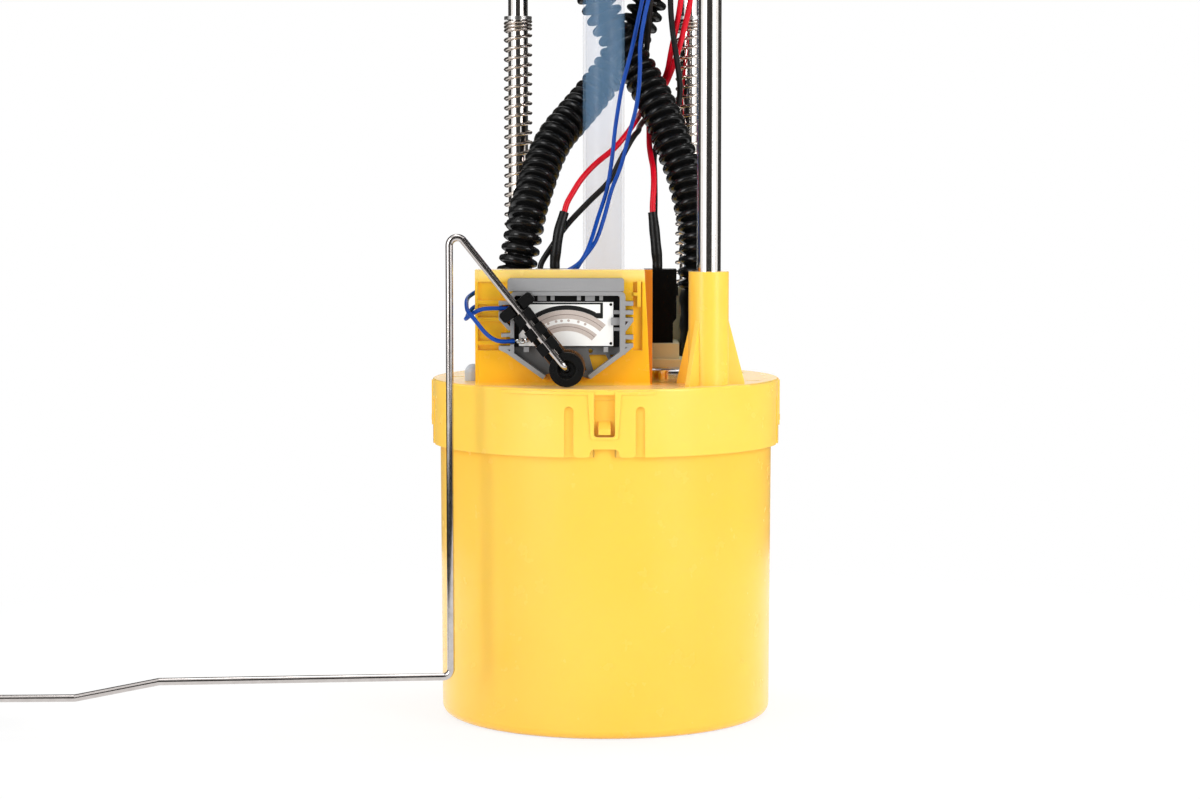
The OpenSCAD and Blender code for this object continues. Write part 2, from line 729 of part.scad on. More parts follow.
module strainer()
{
    color(cream) difference() {
        union() {
            translate([0, 0, bucket_floor + 1]) rotate_extrude() difference() {
                union() {
                    area([0, 0], [14, 5.5]);
                    translate([14, 2.75]) circle(r = 2.75);
                }
                area([-20, -10], [0, 10]);
            }
            translate([7, 0, bucket_floor + 3]) cylinder(r = barb_r + 2.2, h = 11 - bucket_floor);
        }
        translate([7, 0, 12 - seat_gap]) cylinder(r = barb_r + 0.5 + seat_gap, h = 10);
        translate([7, 0, bucket_floor + 3]) cylinder(r = barb_r - 1, h = 20);
    }
}

module pump_isolators()
{
    color(black) for (side = [-1, 1]) on_pump(side) {
        translate([0, 0, ledge_z]) pipe(cradle_in - seat_gap, pump_r - 4, pump_base - ledge_z);
        translate([0, 0, pump_base - 0.2]) pipe(cradle_in - seat_gap, pump_r + seat_gap, 9);
    }
}

module brush_arm()
{
    difference() {
        block([commutator_r + 1, -3.5, brush_z - 1.5], [core_r - 0.5, 3.5, cap_bottom + 1]);
        block([commutator_r, -1.6, brush_z], [commutator_r + 5.6, 1.6, brush_z + brush_h]);
    }
}

module end_cap()
{
    color(cream) difference() {
        union() {
            translate([0, 0, cap_bottom]) cylinder(r = cap_in, h = can_top - 2.3 - cap_bottom);
            translate([0, 0, cap_bottom]) cylinder(r = roll_in - seat_gap, h = cap_flange_top - cap_bottom);
            translate([0, 0, can_top]) cylinder(r = roll_in + 0.9, h = cap_flange_top - can_top);
            difference() {
                translate([0, 0, cap_flange_top - 0.5])
                    cylinder(r = 15, h = cap_step_top - cap_flange_top + 0.5);
                block([-0.2, -20, cap_flange_top], [20, 20, cap_step_top + over]);
            }
            block([-3, 10, cap_flange_top - 0.5], [3, 12.2, cap_flange_top + 23.5]);
            translate([barb_x, barb_y, cap_bottom]) cylinder(r = barb_r, h = hose_z - 0.4 - cap_bottom);
            for (a = [0, 180]) rotate([0, 0, a]) brush_arm();
        }
        // Outlet: a narrow seat, then the wider bore that the check valve moves in
        translate([barb_x, barb_y, cap_bottom - over]) cylinder(r = 1.8, h = hose_z);
        translate([barb_x, barb_y, valve_seat]) cylinder(r = barb_r - 1, h = valve_h + valve_lift);
        translate([0, 0, cap_bottom - over]) cylinder(r = shaft_r + run_gap, h = 10);
    }
}

module pump_brushes()
{
    color(black) for (side = [-1, 1]) on_pump(side) for (a = [0, 180]) rotate([0, 0, a])
        block([commutator_r + 0.15, -1.5, brush_z + seat_gap],
            [commutator_r + 5.5, 1.5, brush_z + brush_h - seat_gap]);
}

module power_plug()
{
    color(black) translate([plug_x, plug_y, cap_step_top]) {
        block([-plug_w / 2, -plug_d / 2, plug_step], [plug_w / 2, plug_d / 2, plug_h]);
        block([-plug_w / 2, -plug_d / 2, 0], [plug_w / 2 - 1.2, plug_d / 2 - 1, plug_step + 0.1]);
        facing(plug_d / 2 - 1, plug_d - 1) polygon([[0, plug_step - 1.7],
            [plug_w / 2 - 1.2, plug_step - 1.7], [plug_w / 2, plug_step],
            [plug_w / 2, plug_step + 0.5], [0, plug_step + 0.5]]);
        block([plug_w / 2 - 0.5, -plug_d / 2 + 2, plug_h - 9],
            [plug_w / 2 + 0.6, -plug_d / 2 + 5, plug_h - 5]);
    }
}

module armature()
{
    slot_count = 8;
    color(steel) {
        translate([0, 0, pump_base + 2.4]) cylinder(r = shaft_r, h = cap_bottom + 8 - pump_base - 2.4);
        translate([0, 0, magnet_z + 3]) difference() {
            cylinder(r = core_r - 0.5, h = magnet_h - 8);
            for (i = [0 : slot_count - 1]) rotate([0, 0, 360 * i / slot_count])
                block([core_r - 4, -0.8, -over], [core_r + over, 0.8, magnet_h]);
        }
        translate([0, 0, magnet_z]) cylinder(r = core_r - 4, h = magnet_h - 2);
        translate([0, 0, magnet_z + magnet_h - 3]) cylinder(r = commutator_r, h = 12);
    }
}

module impeller()
{
    vane_count = 24;
    color(black) translate([0, 0, rotor_base]) difference() {
        cylinder(r = core_r, h = 3.4);
        translate([0, 0, -over]) cylinder(r = shaft_r + 0.02, h = 6);
        for (i = [0 : vane_count - 1]) rotate([0, 0, 360 * i / vane_count])
            block([core_r - 2.4, -0.9, -over], [core_r + over, 0.9, 4]);
    }
}

module check_valve()
{
    color(black) translate([barb_x, barb_y, valve_seat]) {
        cylinder(r = barb_r - 1.4, h = 1.2);
        cylinder(r = 0.9, h = valve_h + 2);
        for (a = [0, 90]) rotate([0, 0, a]) block([-barb_r + 1.5, -0.3, 1], [barb_r - 1.5, 0.3, valve_h]);
    }
}

// Hoses and leads

module hose_cuff(h)
{
    color(black) pipe(cuff_r, barb_r + seat_gap, h);
}

module hose_cuffs_lower()
{
    for (side = [-1, 1]) on_pump(side) translate([barb_x, barb_y, cap_flange_top])
        hose_cuff(hose_z - cap_flange_top);
}

module hose_cuffs_upper()
{
    for (at = [outlet_left, outlet_right]) translate([at[0], at[1], hose_top_z])
        hose_cuff(flange_z - hose_top_z);
}

module hose_left() { color(black) corrugated(hose_left_path); }
module hose_right() { color(black) corrugated(hose_right_path); }

module splice_sleeves()
{
    color(black) for (p = [sleeve_left_path, sleeve_right_path]) lead(p, sleeve_r, 10);
}

module red_lead_left() { color("crimson") lead(red_left_path, lead_r); }
module red_lead_right() { color("crimson") lead(red_right_path, lead_r); }
module black_lead_left() { color(black) lead(black_left_path, lead_r); }
module black_lead_right() { color(black) lead(black_right_path, lead_r); }
module blue_lead_front() { color("royalblue") lead(blue_front_path, blue_r); }
module blue_lead_rear() { color("royalblue") lead(blue_rear_path, blue_r); }

// Tank flange, rods and springs

module rod_socket(r)
{
    translate([0, 0, flange_z - rod_socket_h]) cylinder(r = r + rod_socket_wall, h = rod_socket_h + 1);
}

module flange_plate()
{
    color(black) difference() {
        union() {
            translate([0, 0, flange_z]) rotate_extrude() difference() {
                union() {
                    area([0, 0], [flange_r, flange_t - 1]);
                    area([0, 0], [flange_r - 1, flange_t]);
                    translate([flange_r - 1, flange_t - 1]) circle(r = 1);
                    area([0, 0], [deck_r, flange_t + deck_h]);
                    area([collar_r - 2.5, -9], [collar_r, 0.5]);
                }
                area([-over, flange_t + deck_h - 2], [deck_r - 5, flange_t + deck_h + over]);
                area([seal_in - seat_gap, -over], [seal_in + seal_w + seat_gap, groove_h]);
            }
            for (x = rod_sides) translate([x, rod_y, 0]) rod_socket(rod_r);
            translate([front_rod[0], front_rod[1], 0]) rod_socket(front_rod_r);
            for (a = [0 : 45 : 315]) rotate([0, 0, a + 22.5])
                block([deck_r - 5.5, -1, flange_top], [flange_r - 6, 1, flange_top + 2.4]);
            translate([connector_at[0], connector_at[1], 0])
                block([-11, -8, lead_end_z], [11, 8, flange_z + 1]);
        }
        for (x = rod_sides) translate([x, rod_y, flange_z - rod_socket_h - over])
            cylinder(r = rod_r + run_gap, h = rod_socket_h + 2 + over);
        translate([front_rod[0], front_rod[1], flange_z - rod_socket_h - over])
            cylinder(r = front_rod_r + run_gap, h = rod_socket_h + 2 + over);
        for (at = [outlet_left, outlet_right, tube_at]) translate([at[0], at[1], flange_z - over])
            cylinder(r = nipple_r + seat_gap, h = 20);
    }
}

module flange_seal()
{
    color(black) translate([0, 0, flange_z + groove_h - seal_h]) rotate_extrude() {
        area([seal_in, 0.6], [seal_in + seal_w, seal_h]);
        translate([seal_in + seal_w / 2, 0.6]) circle(r = 0.6);
    }
}

module back_rod(x)
{
    low = boss_bottom - clip_t - rod_tail;
    color(steel) translate([x, rod_y, low]) {
        translate([0, 0, 1]) cylinder(r = rod_r, h = flange_z + 1.8 - low - 1);
        cylinder(r1 = rod_r - 1, r2 = rod_r, h = 1);
    }
}

module guide_rod_left() { back_rod(rod_left_x); }
module guide_rod_right() { back_rod(rod_right_x); }

module guide_rod_front()
{
    low = lid_top - 18;
    color(steel) translate([front_rod[0], front_rod[1], low]) {
        translate([0, 0, 1]) cylinder(r = front_rod_r, h = flange_z + 1.8 - low - 1);
        cylinder(r1 = front_rod_r - 1, r2 = front_rod_r, h = 1);
    }
}

// Retaining clips under the lid's bosses: they stop the flange at its highest place
module rod_clips()
{
    color(steel) for (x = rod_sides) translate([x, rod_y, boss_bottom - clip_t]) difference() {
        pipe(rod_r + 2.4, rod_r + 0.02, clip_t);
        block([-rod_r - 3, -1.4, -over], [0, 1.4, clip_t + over]);
    }
}

module spring_collars()
{
    color(steel) for (x = rod_sides) translate([x, rod_y, collar_z])
        pipe(spring_d / 2 - 0.2, rod_r + 0.02, 1.2);
}

// Closed coils at both ends, open turns between them
module coil_spring(x)
{
    closed = 2;
    turns = spring_turns + 2 * closed;
    rings = turns * spring_segments;
    dense = spring_wire * 1.08;
    open_pitch = (spring_high - spring_low - 2 * closed * dense) / spring_turns;
    height = function(t) dense * min(t, closed) + open_pitch * max(0, min(t - closed, spring_turns))
        + dense * max(0, t - closed - spring_turns);
    line = [for (i = [0 : rings]) let (t = i / spring_segments)
        [x + spring_r * cos(360 * t), rod_y + spring_r * sin(360 * t), spring_low + height(t)]];
    color(steel) swept(line, [for (q = line) spring_wire / 2], spring_sides, [0, 0, 1]);
}

module spring_left() { coil_spring(rod_left_x); }
module spring_right() { coil_spring(rod_right_x); }

module return_tube()
{
    color([0.85, 0.88, 0.95, 0.4]) translate([tube_at[0], tube_at[1], tube_low])
        pipe(tube_r, tube_r - tube_wall, flange_z - tube_low);
}

module nipple(low, stub_r)
{
    difference() {
        union() {
            translate([0, 0, low]) cylinder(r = stub_r, h = flange_top - low);
            translate([0, 0, flange_z]) cylinder(r = nipple_r, h = nipple_h);
            translate([0, 0, flange_z + 16]) cylinder(r = nipple_r + 1.3, h = 2);
            translate([0, 0, flange_z + nipple_h]) cylinder(r1 = nipple_r, r2 = nipple_r - 0.8, h = 1.5);
        }
        translate([0, 0, low - over]) cylinder(r = stub_r - 1.2, h = flange_z + nipple_h - low + 3);
    }
}

module outlet_nipples()
{
    color(black) for (at = [outlet_left, outlet_right]) translate([at[0], at[1], 0])
        nipple(hose_top_z + 0.4, barb_r);
}

module return_nipple()
{
    color(black) translate([tube_at[0], tube_at[1], 0]) nipple(flange_z - 9, nipple_r);
}

module connector_housing()
{
    color(grey) translate([connector_at[0], connector_at[1], deck_top - 2]) difference() {
        union() {
            block([-connector_w / 2, -connector_d / 2, 0], [connector_w / 2, connector_d / 2, connector_h]);
            block([-4, -connector_d / 2 - 1.6, 6], [4, -connector_d / 2 + 1, 9]);
        }
        block([-connector_w / 2 + 1.8, -connector_d / 2 + 1.8, 3],
            [connector_w / 2 - 1.8, connector_d / 2 - 1.8, connector_h + over]);
    }
}

module connector_pins()
{
    color(copper) translate([connector_at[0], connector_at[1], deck_top + 1])
        for (x = [-8, -4, 0, 4, 8], y = [-4, 4]) translate([x, y, 0])
            block([-pin_w / 2, -pin_w / 4, 0], [pin_w / 2, pin_w / 4, pin_h]);
}

// Level sender

module at_pivot()
{
    translate([pivot_x, 0, pivot_z]) children();
}

// Walls of the sender frame: rim round the card, zigzag clips at both sides, legs to the pivot
module frame_walls()
{
    difference() {
        rounded_top([-18.6, 4.6], [19.4, 25.6], 2);
        rounded_top([-17.3, 4], [17.5, 24.1], 0.8);
    }
    strip([-19, 5.4], [-7.4, -2.9], 1.5);
    strip([18.6, 5.4], [7.4, -2.9], 1.5);
    // Right side, from the top: two tabs, a folded clip and two more tabs
    area([19.2, 20.8], [22, 22.2]);
    area([19.2, 17.9], [22, 19.3]);
    area([19.2, 15.6], [22, 16.8]);
    strip([21.6, 16.2], [18.4, 12], 1.3);
    area([19.2, 9.7], [22, 11.1]);
    area([19.2, 7.1], [22, 8.3]);
    strip([21.6, 7.7], [18.9, 5.3], 1.2);
    // Left side: the clip lies further out and folds in between the two leads
    area([-22.4, 21.1], [-18.4, 22.3]);
    strip([-21.8, 22], [-21.8, 16.2], 1.2);
    strip([-21.9, 16.6], [-18.6, 13], 1.3);
    strip([-18.2, 11.2], [-21.6, 11], 1.2);
    area([-22.4, 6.3], [-18.4, 7.5]);
    strip([-22, 6.8], [-18.9, 5.3], 1.2);
}

// Rear of the frame: a bar under the card, a web and struts that reach the pivot's boss
module frame_back()
{
    difference() {
        area([-17.5, 4.4], [18.5, 7]);
        translate([7.9, 5.6]) circle(r = 0.75);
    }
    polygon([[-17.5, 7], [-17.5, 4.8], [-7.6, -2.4], [-3, -1], [-3, 7]]);
    strip([4.8, 0], [4.8, 6], 1.3);
    strip([6, 5], [8, -2], 2.2);
    strip([0, 0], [8, -2.6], 2.2);
    strip([13.2, 5], [14.8, 2], 1.2);
}

module sender_frame()
{
    depth = tower_y - frame_y;
    lead_way = blue_r + free_gap;
    color(grey) at_pivot() difference() {
        union() {
            facing(tower_y, depth + 0.4) rounded_top([-19.4, 25.6], [18.9, 29.8], 0.9);
            facing(tower_y, depth) frame_walls();
            facing(tower_y, 1.6) frame_back();
            // Lugs over the card's insert, stubs under the card and a clip at its right edge
            facing(card_y, 1.2) for (u = [[-5.3, -4], [3.4, 4.7], [10.8, 12]])
                area([u[0], 22.5], [u[1], 24.3]);
            facing(card_y, 0.5) for (u = [[-9.6, -6.7], [6.1, 9.3]]) area([u[0], 22.3], [u[1], 24.3]);
            facing(tower_y, 4.2) for (u = [[-14.2, -12.4], [12.2, 13.7]]) area([u[0], 5.4], [u[1], 7.1]);
            facing(card_y - card_t, 1) area([14.7, 14.3], [17.6, 16.8]);
            facing(card_y, 1.2) for (v = [[12.4, 13.5], [17.9, 19.2]]) area([15.6, v[0]], [17.6, v[1]]);
            translate([0, tower_y, 0]) rotate([90, 0, 0]) cylinder(r = 4.4, h = depth - 0.1);
        }
        translate([0, tower_y + over, 0]) rotate([90, 0, 0])
            cylinder(r = arm_r + run_gap, h = depth + 2 * over);
        // Passages of the two sender leads
        for (v = lead_rows) block([-24, tower_y - 5 - lead_way, v - lead_way],
            [-16, tower_y - 3 + lead_way, v + lead_way]);
    }
}

module card_backing()
{
    color(black) at_pivot() facing(tower_y, tower_y - card_y)
        rounded_top([-17.2, 7.1], [17.4, 24], 0.9);
}

module resistor_card()
{
    color("white") facing(card_y, card_t) difference() {
        area([card_left, card_low], [card_right, card_high]);
        for (z = [card_low + 0.8, card_high - 0.8]) translate([card_right - 0.8, z]) circle(r = 0.5);
    }
}

module track(radii)
{
    reach = 40;
    intersection() {
        difference() {
            circle(r = radii[1]);
            circle(r = radii[0]);
        }
        polygon([[0, 0], [reach * cos(48), reach * sin(48)], [0, reach],
            [reach * cos(136), reach * sin(136)]]);
    }
}

module resistor_tracks()
{
    color([0.6, 0.54, 0.5]) at_pivot() facing(card_y - card_t, track_t) {
        track(outer_track);
        track(inner_track);
    }
}

module card_terminals()
{
    color(steel) at_pivot() facing(card_y - card_t, 1.4) for (v = lead_rows)
        area([-lead_stop, v - 1.2], [-12.4, v + 1.2]);
}

module float_arm()
{
    arm_points = [
        [pivot_x, tower_y - 6, pivot_z], [pivot_x, arm_y, pivot_z], [pivot_x - 27.5, arm_y, pivot_z + 34.6],
        [pivot_x - 38.3, arm_y, pivot_z + 48.2], [pivot_x - 38.3, arm_y, pivot_z - 101.8],
        [float_x + 74, arm_y, pivot_z - 103.5], [float_x + 46, arm_y, pivot_z - 109],
        [float_x, arm_y, float_z], [float_x, float_y0, float_z]];
    color(steel) {
        swept(rounded(arm_points, arm_bend), [for (q = rounded(arm_points, arm_bend)) arm_r - 0.02],
            12, [1, 0, 0]);
        // True round journals at the pivot and in the float
        translate([pivot_x, tower_y - 0.4, pivot_z]) rotate([90, 0, 0]) cylinder(r = arm_r, h = 8);
        translate([float_x, float_y0 + float_w + 3.5, float_z]) rotate([90, 0, 0])
            cylinder(r = arm_r, h = float_w + 4.5);
    }
}

// Holder drawn along +X from the pivot, then leaned to the arm's angle
module on_arm()
{
    translate([pivot_x, 0, pivot_z]) rotate([0, -arm_lean, 0]) children();
}

// Head of the holder: two wings with rounded ends
module head_outline()
{
    area([head_r - 1.9, 1.2 - head_w], [head_r + 1.9, head_w - 1.2]);
    area([head_r - 0.7, -head_w], [head_r + 0.7, head_w]);
    for (u = [-0.7, 0.7], v = [1.2 - head_w, head_w - 1.2]) translate([head_r + u, v]) circle(r = 1.2);
}

module arm_holder()
{
    stem_y = arm_back_y - 0.6;
    stem_front = arm_y + arm_r + 0.2;
    clip_front = arm_y - arm_r - 0.2;
    clip_w = 3.4;
    clip_l = 3.9;
    color(black) on_arm() difference() {
        union() {
            facing(stem_y, stem_y - stem_front) {
                circle(r = hub_r);
                area([0, -3], [head_r, 3]);
                head_outline();
            }
            facing(stem_y, stem_y + 0.5 - arm_y) circle(r = hub_r);
            // Three pairs of clips over the edges of the wire
            for (u = [9.9, 16, 22]) facing(stem_front + 0.2, stem_front + 0.2 - clip_front)
                area([u - clip_l / 2, -clip_w], [u + clip_l / 2, clip_w]);
            facing(stem_front + 0.2, 2.2) difference() {
                head_outline();
                area([0, -1.6], [head_r + 3, 1.6]);
            }
        }
        // Room for the wire, open to the front between the clips
        translate([0, arm_y, 0]) rotate([0, 90, 0]) cylinder(r = arm_r + run_gap, h = head_r + 4);
        block([0, clip_front - over, -0.8], [head_r + 4, arm_y, 0.8]);
        // Bore for the pivot end of the wire, its chamfered mouth, and the groove of the bend
        translate([0, arm_back_y + over, 0]) rotate([90, 0, 0]) cylinder(r = arm_r + 0.02, h = 10);
        translate([0, stem_front, 0]) rotate([90, 0, 0]) cylinder(r1 = 2.2, r2 = 3.4, h = arm_r + 1);
        block([0, arm_y - arm_r - over, -arm_r - run_gap],
            [arm_bend + arm_r + 0.4, arm_y + arm_bend + 0.2, arm_r + run_gap]);
    }
}

module wiper_plate()
{
    color(copper) on_arm() {
        facing(arm_back_y - 0.2, 0.4) difference() {
            union() {
                translate([0.3, -0.85]) circle(r = hub_r);
                polygon([[0, -3.9], [16.7, -3.4], [18.5, -2.6], [18.5, 2.6], [14.2, 3.3], [0, 3.6]]);
            }
            circle(r = arm_r + 0.3);
        }
        // Contact fingers that ride on the two tracks
        finger_y = card_y - card_t - track_t - seat_gap;
        for (radii = [inner_track, outer_track]) let (r = (radii[0] + radii[1]) / 2)
            facing(finger_y, finger_y - arm_back_y + 0.4) area([r - 0.5, -1.2], [r + 0.5, 1.2]);
    }
}

module float()
{
    edge = 2;
    color(black) translate([float_x, float_y0 + float_w, float_z]) rotate([90, 0, 0]) rotate_extrude()
        difference() {
            union() {
                area([0, 0], [float_r - edge, float_w]);
                area([0, edge], [float_r, float_w - edge]);
                for (z = [edge, float_w - edge]) translate([float_r - edge, z]) circle(r = edge);
            }
            area([-float_r, -over], [arm_r + run_gap, float_w + over]);
        }
}

module float_clip()
{
    color(steel) for (y = [float_y0 - seat_gap, float_y0 + float_w + 1 + seat_gap])
        translate([float_x, y, float_z]) rotate([90, 0, 0]) pipe(3.2, arm_r + 0.02, 1);
}

reservoir_bucket();
reservoir_lid();
fill_valve();
vent_cap();
sender_frame();
card_backing();
resistor_card();
resistor_tracks();
card_terminals();
float_arm();
arm_holder();
wiper_plate();
float();
float_clip();
on_pump(-1) pump_can();  // pump_can_left
on_pump(1) pump_can();  // pump_can_right
on_pump(-1) pump_magnets();  // pump_magnets_left
on_pump(1) pump_magnets();  // pump_magnets_right
on_pump(-1) inlet_cover();  // inlet_cover_left
on_pump(1) inlet_cover();  // inlet_cover_right
on_pump(-1) strainer();  // strainer_left
on_pump(1) strainer();  // strainer_right
pump_isolators();
on_pump(-1) end_cap();  // end_cap_left
on_pump(1) end_cap();  // end_cap_right
pump_brushes();
on_pump(-1) power_plug();  // power_plug_left
on_pump(1) power_plug();  // power_plug_right
on_pump(-1) armature();  // armature_left
on_pump(1) armature();  // armature_right
on_pump(-1) impeller();  // impeller_left
on_pump(1) impeller();  // impeller_right
on_pump(-1) check_valve();  // check_valve_left
on_pump(1) check_valve();  // check_valve_right
hose_cuffs_lower();
hose_cuffs_upper();
hose_left();
hose_right();
splice_sleeves();
red_lead_left();
red_lead_right();
black_lead_left();
black_lead_right();
blue_lead_front();
blue_lead_rear();
flange_plate();
flange_seal();
guide_rod_left();
guide_rod_right();
guide_rod_front();
rod_clips();
spring_collars();
spring_left();
spring_right();
return_tube();
outlet_nipples();
return_nipple();
connector_housing();
connector_pins();
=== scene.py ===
import math
import bmesh
import bpy
from mathutils import Matrix, Vector


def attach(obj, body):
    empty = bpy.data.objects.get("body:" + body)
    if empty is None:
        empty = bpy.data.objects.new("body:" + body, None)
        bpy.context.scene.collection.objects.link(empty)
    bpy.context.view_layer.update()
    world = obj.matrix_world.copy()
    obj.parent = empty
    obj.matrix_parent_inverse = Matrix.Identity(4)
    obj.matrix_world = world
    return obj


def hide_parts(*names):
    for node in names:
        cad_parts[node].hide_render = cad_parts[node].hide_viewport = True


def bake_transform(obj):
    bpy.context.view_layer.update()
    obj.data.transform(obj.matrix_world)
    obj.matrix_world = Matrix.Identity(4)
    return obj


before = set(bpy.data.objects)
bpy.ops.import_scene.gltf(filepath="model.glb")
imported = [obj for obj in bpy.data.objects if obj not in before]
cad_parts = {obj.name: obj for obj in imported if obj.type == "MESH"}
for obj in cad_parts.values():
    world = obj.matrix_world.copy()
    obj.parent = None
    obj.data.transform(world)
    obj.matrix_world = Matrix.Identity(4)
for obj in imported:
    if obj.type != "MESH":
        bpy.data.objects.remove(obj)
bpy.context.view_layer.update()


# --- Camera ---
# A long lens a little above the lid, level with the sender, as the module was photographed on its
# side of the tank. The tank flange and the float lie outside the frame.
MM = 0.001
lens = bpy.data.cameras.new("camera")
lens.sensor_width = 36
lens.lens = 81.72
lens.clip_start, lens.clip_end = 0.05, 20
looking_down = 4.56
camera = bpy.data.objects.new("camera", lens)
camera.location = (-1.99 * MM, -944.8 * MM, 183.87 * MM)
camera.rotation_euler = (math.radians(90 - looking_down), 0, 0)
bpy.context.scene.collection.objects.link(camera)
bpy.context.scene.camera = camera
bpy.context.scene.view_settings.view_transform = "Standard"


# --- Studio: floor, backdrop, cards and lamps ---
# A white paper floor under soft boxes, all white to the camera. Black cards and a dark ring of the
# floor show only in reflections, and give bright metal the stripes that it has in the photograph.
class Socket:
    """A node's output. Sums written on it become Math nodes."""

    def __init__(self, nodes, output):
        self.nodes, self.output = nodes, output

    def math(self, operation, *others, clamp=False):
        settings = {"operation": operation, "use_clamp": clamp}
        return self.nodes.add("ShaderNodeMath", settings, dict(enumerate((self, *others))))

    def __add__(self, other):
        return self.math("ADD", other)

    def __sub__(self, other):
        return self.math("SUBTRACT", other)

    def __rsub__(self, other):
        return self.nodes.add("ShaderNodeMath", {"operation": "SUBTRACT"}, {0: other, 1: self})

    def __mul__(self, other):
        return self.math("MULTIPLY", other)

    def __gt__(self, other):
        return self.math("GREATER_THAN", other)

    def __lt__(self, other):
        return self.math("LESS_THAN", other)

    __radd__, __rmul__ = __add__, __mul__


class Nodes:
    """A node tree, and the one way in which nodes are added to it."""

    def __init__(self, tree):
        self.tree = tree

    def feed(self, node, sockets):
        for name, value in sockets.items():
            if isinstance(value, Socket):
                self.tree.links.new(value.output, node.inputs[name])
            else:
                node.inputs[name].default_value = value

    def add(self, kind, settings=None, sockets=None, output=0):
        node = self.tree.nodes.new(kind)
        for name, value in (settings or {}).items():
            if name == "stops":
                ramp = node.color_ramp.elements
                while len(ramp) < len(value):
                    ramp.new(0.5)
                for stop, (at, tone) in zip(ramp, value):
                    stop.position, stop.color = at, (*tone, 1)
            else:
                setattr(node, name, value)
        self.feed(node, sockets or {})
        return Socket(self, node.outputs[output])


class Finish(Nodes):
    """One material: its shader, and the nodes that vary it over the surface."""

    def __init__(self, name, colour, roughness, **constants):
        self.material = bpy.data.materials.new(name)
        self.material.use_nodes = True
        super().__init__(self.material.node_tree)
        self.shader = self.tree.nodes["Principled BSDF"]
        self.surface = Socket(self, self.shader.outputs[0])
        self.feed(self.shader, {"Base Color": (*colour, 1), "Roughness": roughness, **constants})
        self.place = self.add("ShaderNodeTexCoord", output="Object")

    def along(self, axis):
        """The place along X, Y or Z, in metres."""
        return self.add("ShaderNodeSeparateXYZ", None, {"Vector": self.place}, axis)

    def noise(self, scale, detail, stretch=None):
        """Cloudy variation from 0 to 1, with scale in marks per metre along each axis."""
        at = self.place
        if stretch:
            at = self.add("ShaderNodeMapping", None, {"Vector": self.place, "Scale": stretch})
        sockets = {"Vector": at, "Scale": scale, "Detail": detail}
        return self.add("ShaderNodeTexNoise", None, sockets)

    def ramp(self, factor, *stops):
        return self.add("ShaderNodeValToRGB", {"stops": stops}, {"Fac": factor})

    def mix(self, factor, first, second):
        """Colour first where factor is 0, second where it is 1."""
        tones = {6: first, 7: second}
        tones = {k: t if isinstance(t, Socket) else (*t, 1) for k, t in tones.items()}
        return self.add("ShaderNodeMix", {"data_type": "RGBA"}, {0: factor, **tones}, 2)

    def colour(self, tone):
        self.feed(self.shader, {"Base Color": tone})

    def rough(self, base, spread, pattern):
        self.feed(self.shader, {"Roughness": (pattern - 0.5) * (2 * spread) + base})

    def relief(self, height, depth, edge=None):
        """A bump of that depth in metres; edge rounds the corners' shading over that radius."""
        sockets = {"Height": height, "Distance": depth, "Strength": 1.0}
        if edge:
            sockets["Normal"] = self.add("ShaderNodeBevel", {"samples": 4}, {"Radius": edge})
        self.feed(self.shader, {"Normal": self.add("ShaderNodeBump", None, sockets)})

    def shown_by(self, surface):
        self.feed(self.tree.nodes["Material Output"], {"Surface": surface})


def studio_sheet(name, size, place, turn, finish):
    sheet = bmesh.new()
    bmesh.ops.create_grid(sheet, x_segments=1, y_segments=1, size=size / 2)
    bmesh.ops.transform(sheet, matrix=Matrix.Translation(place) @ turn, verts=sheet.verts)
    mesh = bpy.data.meshes.new(name)
    sheet.to_mesh(mesh)
    sheet.free()
    mesh.materials.append(finish.material)
    made = bpy.data.objects.new(name, mesh)
    bpy.context.scene.collection.objects.link(made)
    return made


paper = Finish("studio_paper", (0.9, 0.9, 0.9), 0.9)
seen = paper.add("ShaderNodeLightPath", output="Is Camera Ray")
glossed = paper.add("ShaderNodeLightPath", output="Is Glossy Ray")
distance = paper.add("ShaderNodeVectorMath", {"operation": "LENGTH"}, {0: paper.place}, "Value")
ring_inside, ring_outside = 0.42, 1.2
ring = glossed * (distance > ring_inside) * (distance < ring_outside)
white = paper.add("ShaderNodeEmission", None, {
    "Color": paper.mix(ring, (1, 1, 1), (0.02, 0.02, 0.02)), "Strength": 1.0})
# Pure white far away; near the module the paper is lit by the lamps, so that its shadow shows
shadow_near, shadow_far = 0.07, 0.35
fade = paper.add("ShaderNodeMapRange", None, {
    "Value": distance, "From Min": shadow_near, "From Max": shadow_far,
    "To Min": 0.8, "To Max": 1.0})
paper.shown_by(paper.add("ShaderNodeMixShader", None, {
    0: (seen * fade).math("MAXIMUM", glossed), 1: paper.surface, 2: white}))
studio_sheet("floor", 12, Vector((0, 0, 0)), Matrix.Identity(4), paper)

# The world is full white where it is seen or reflected, and half as strong as a light
world = bpy.data.worlds.new("studio")
world.use_nodes = True
bpy.context.scene.world = world
sky = Nodes(world.node_tree)
to_camera, in_gloss, through_clear = (
    sky.add("ShaderNodeLightPath", output=f"Is {ray} Ray")
    for ray in ("Camera", "Glossy", "Transmission"))
shown = to_camera.math("MAXIMUM", in_gloss).math("MAXIMUM", through_clear)
sky.feed(sky.tree.nodes["Background"], {"Color": (1, 1, 1, 1), "Strength": shown * 0.5 + 0.5})

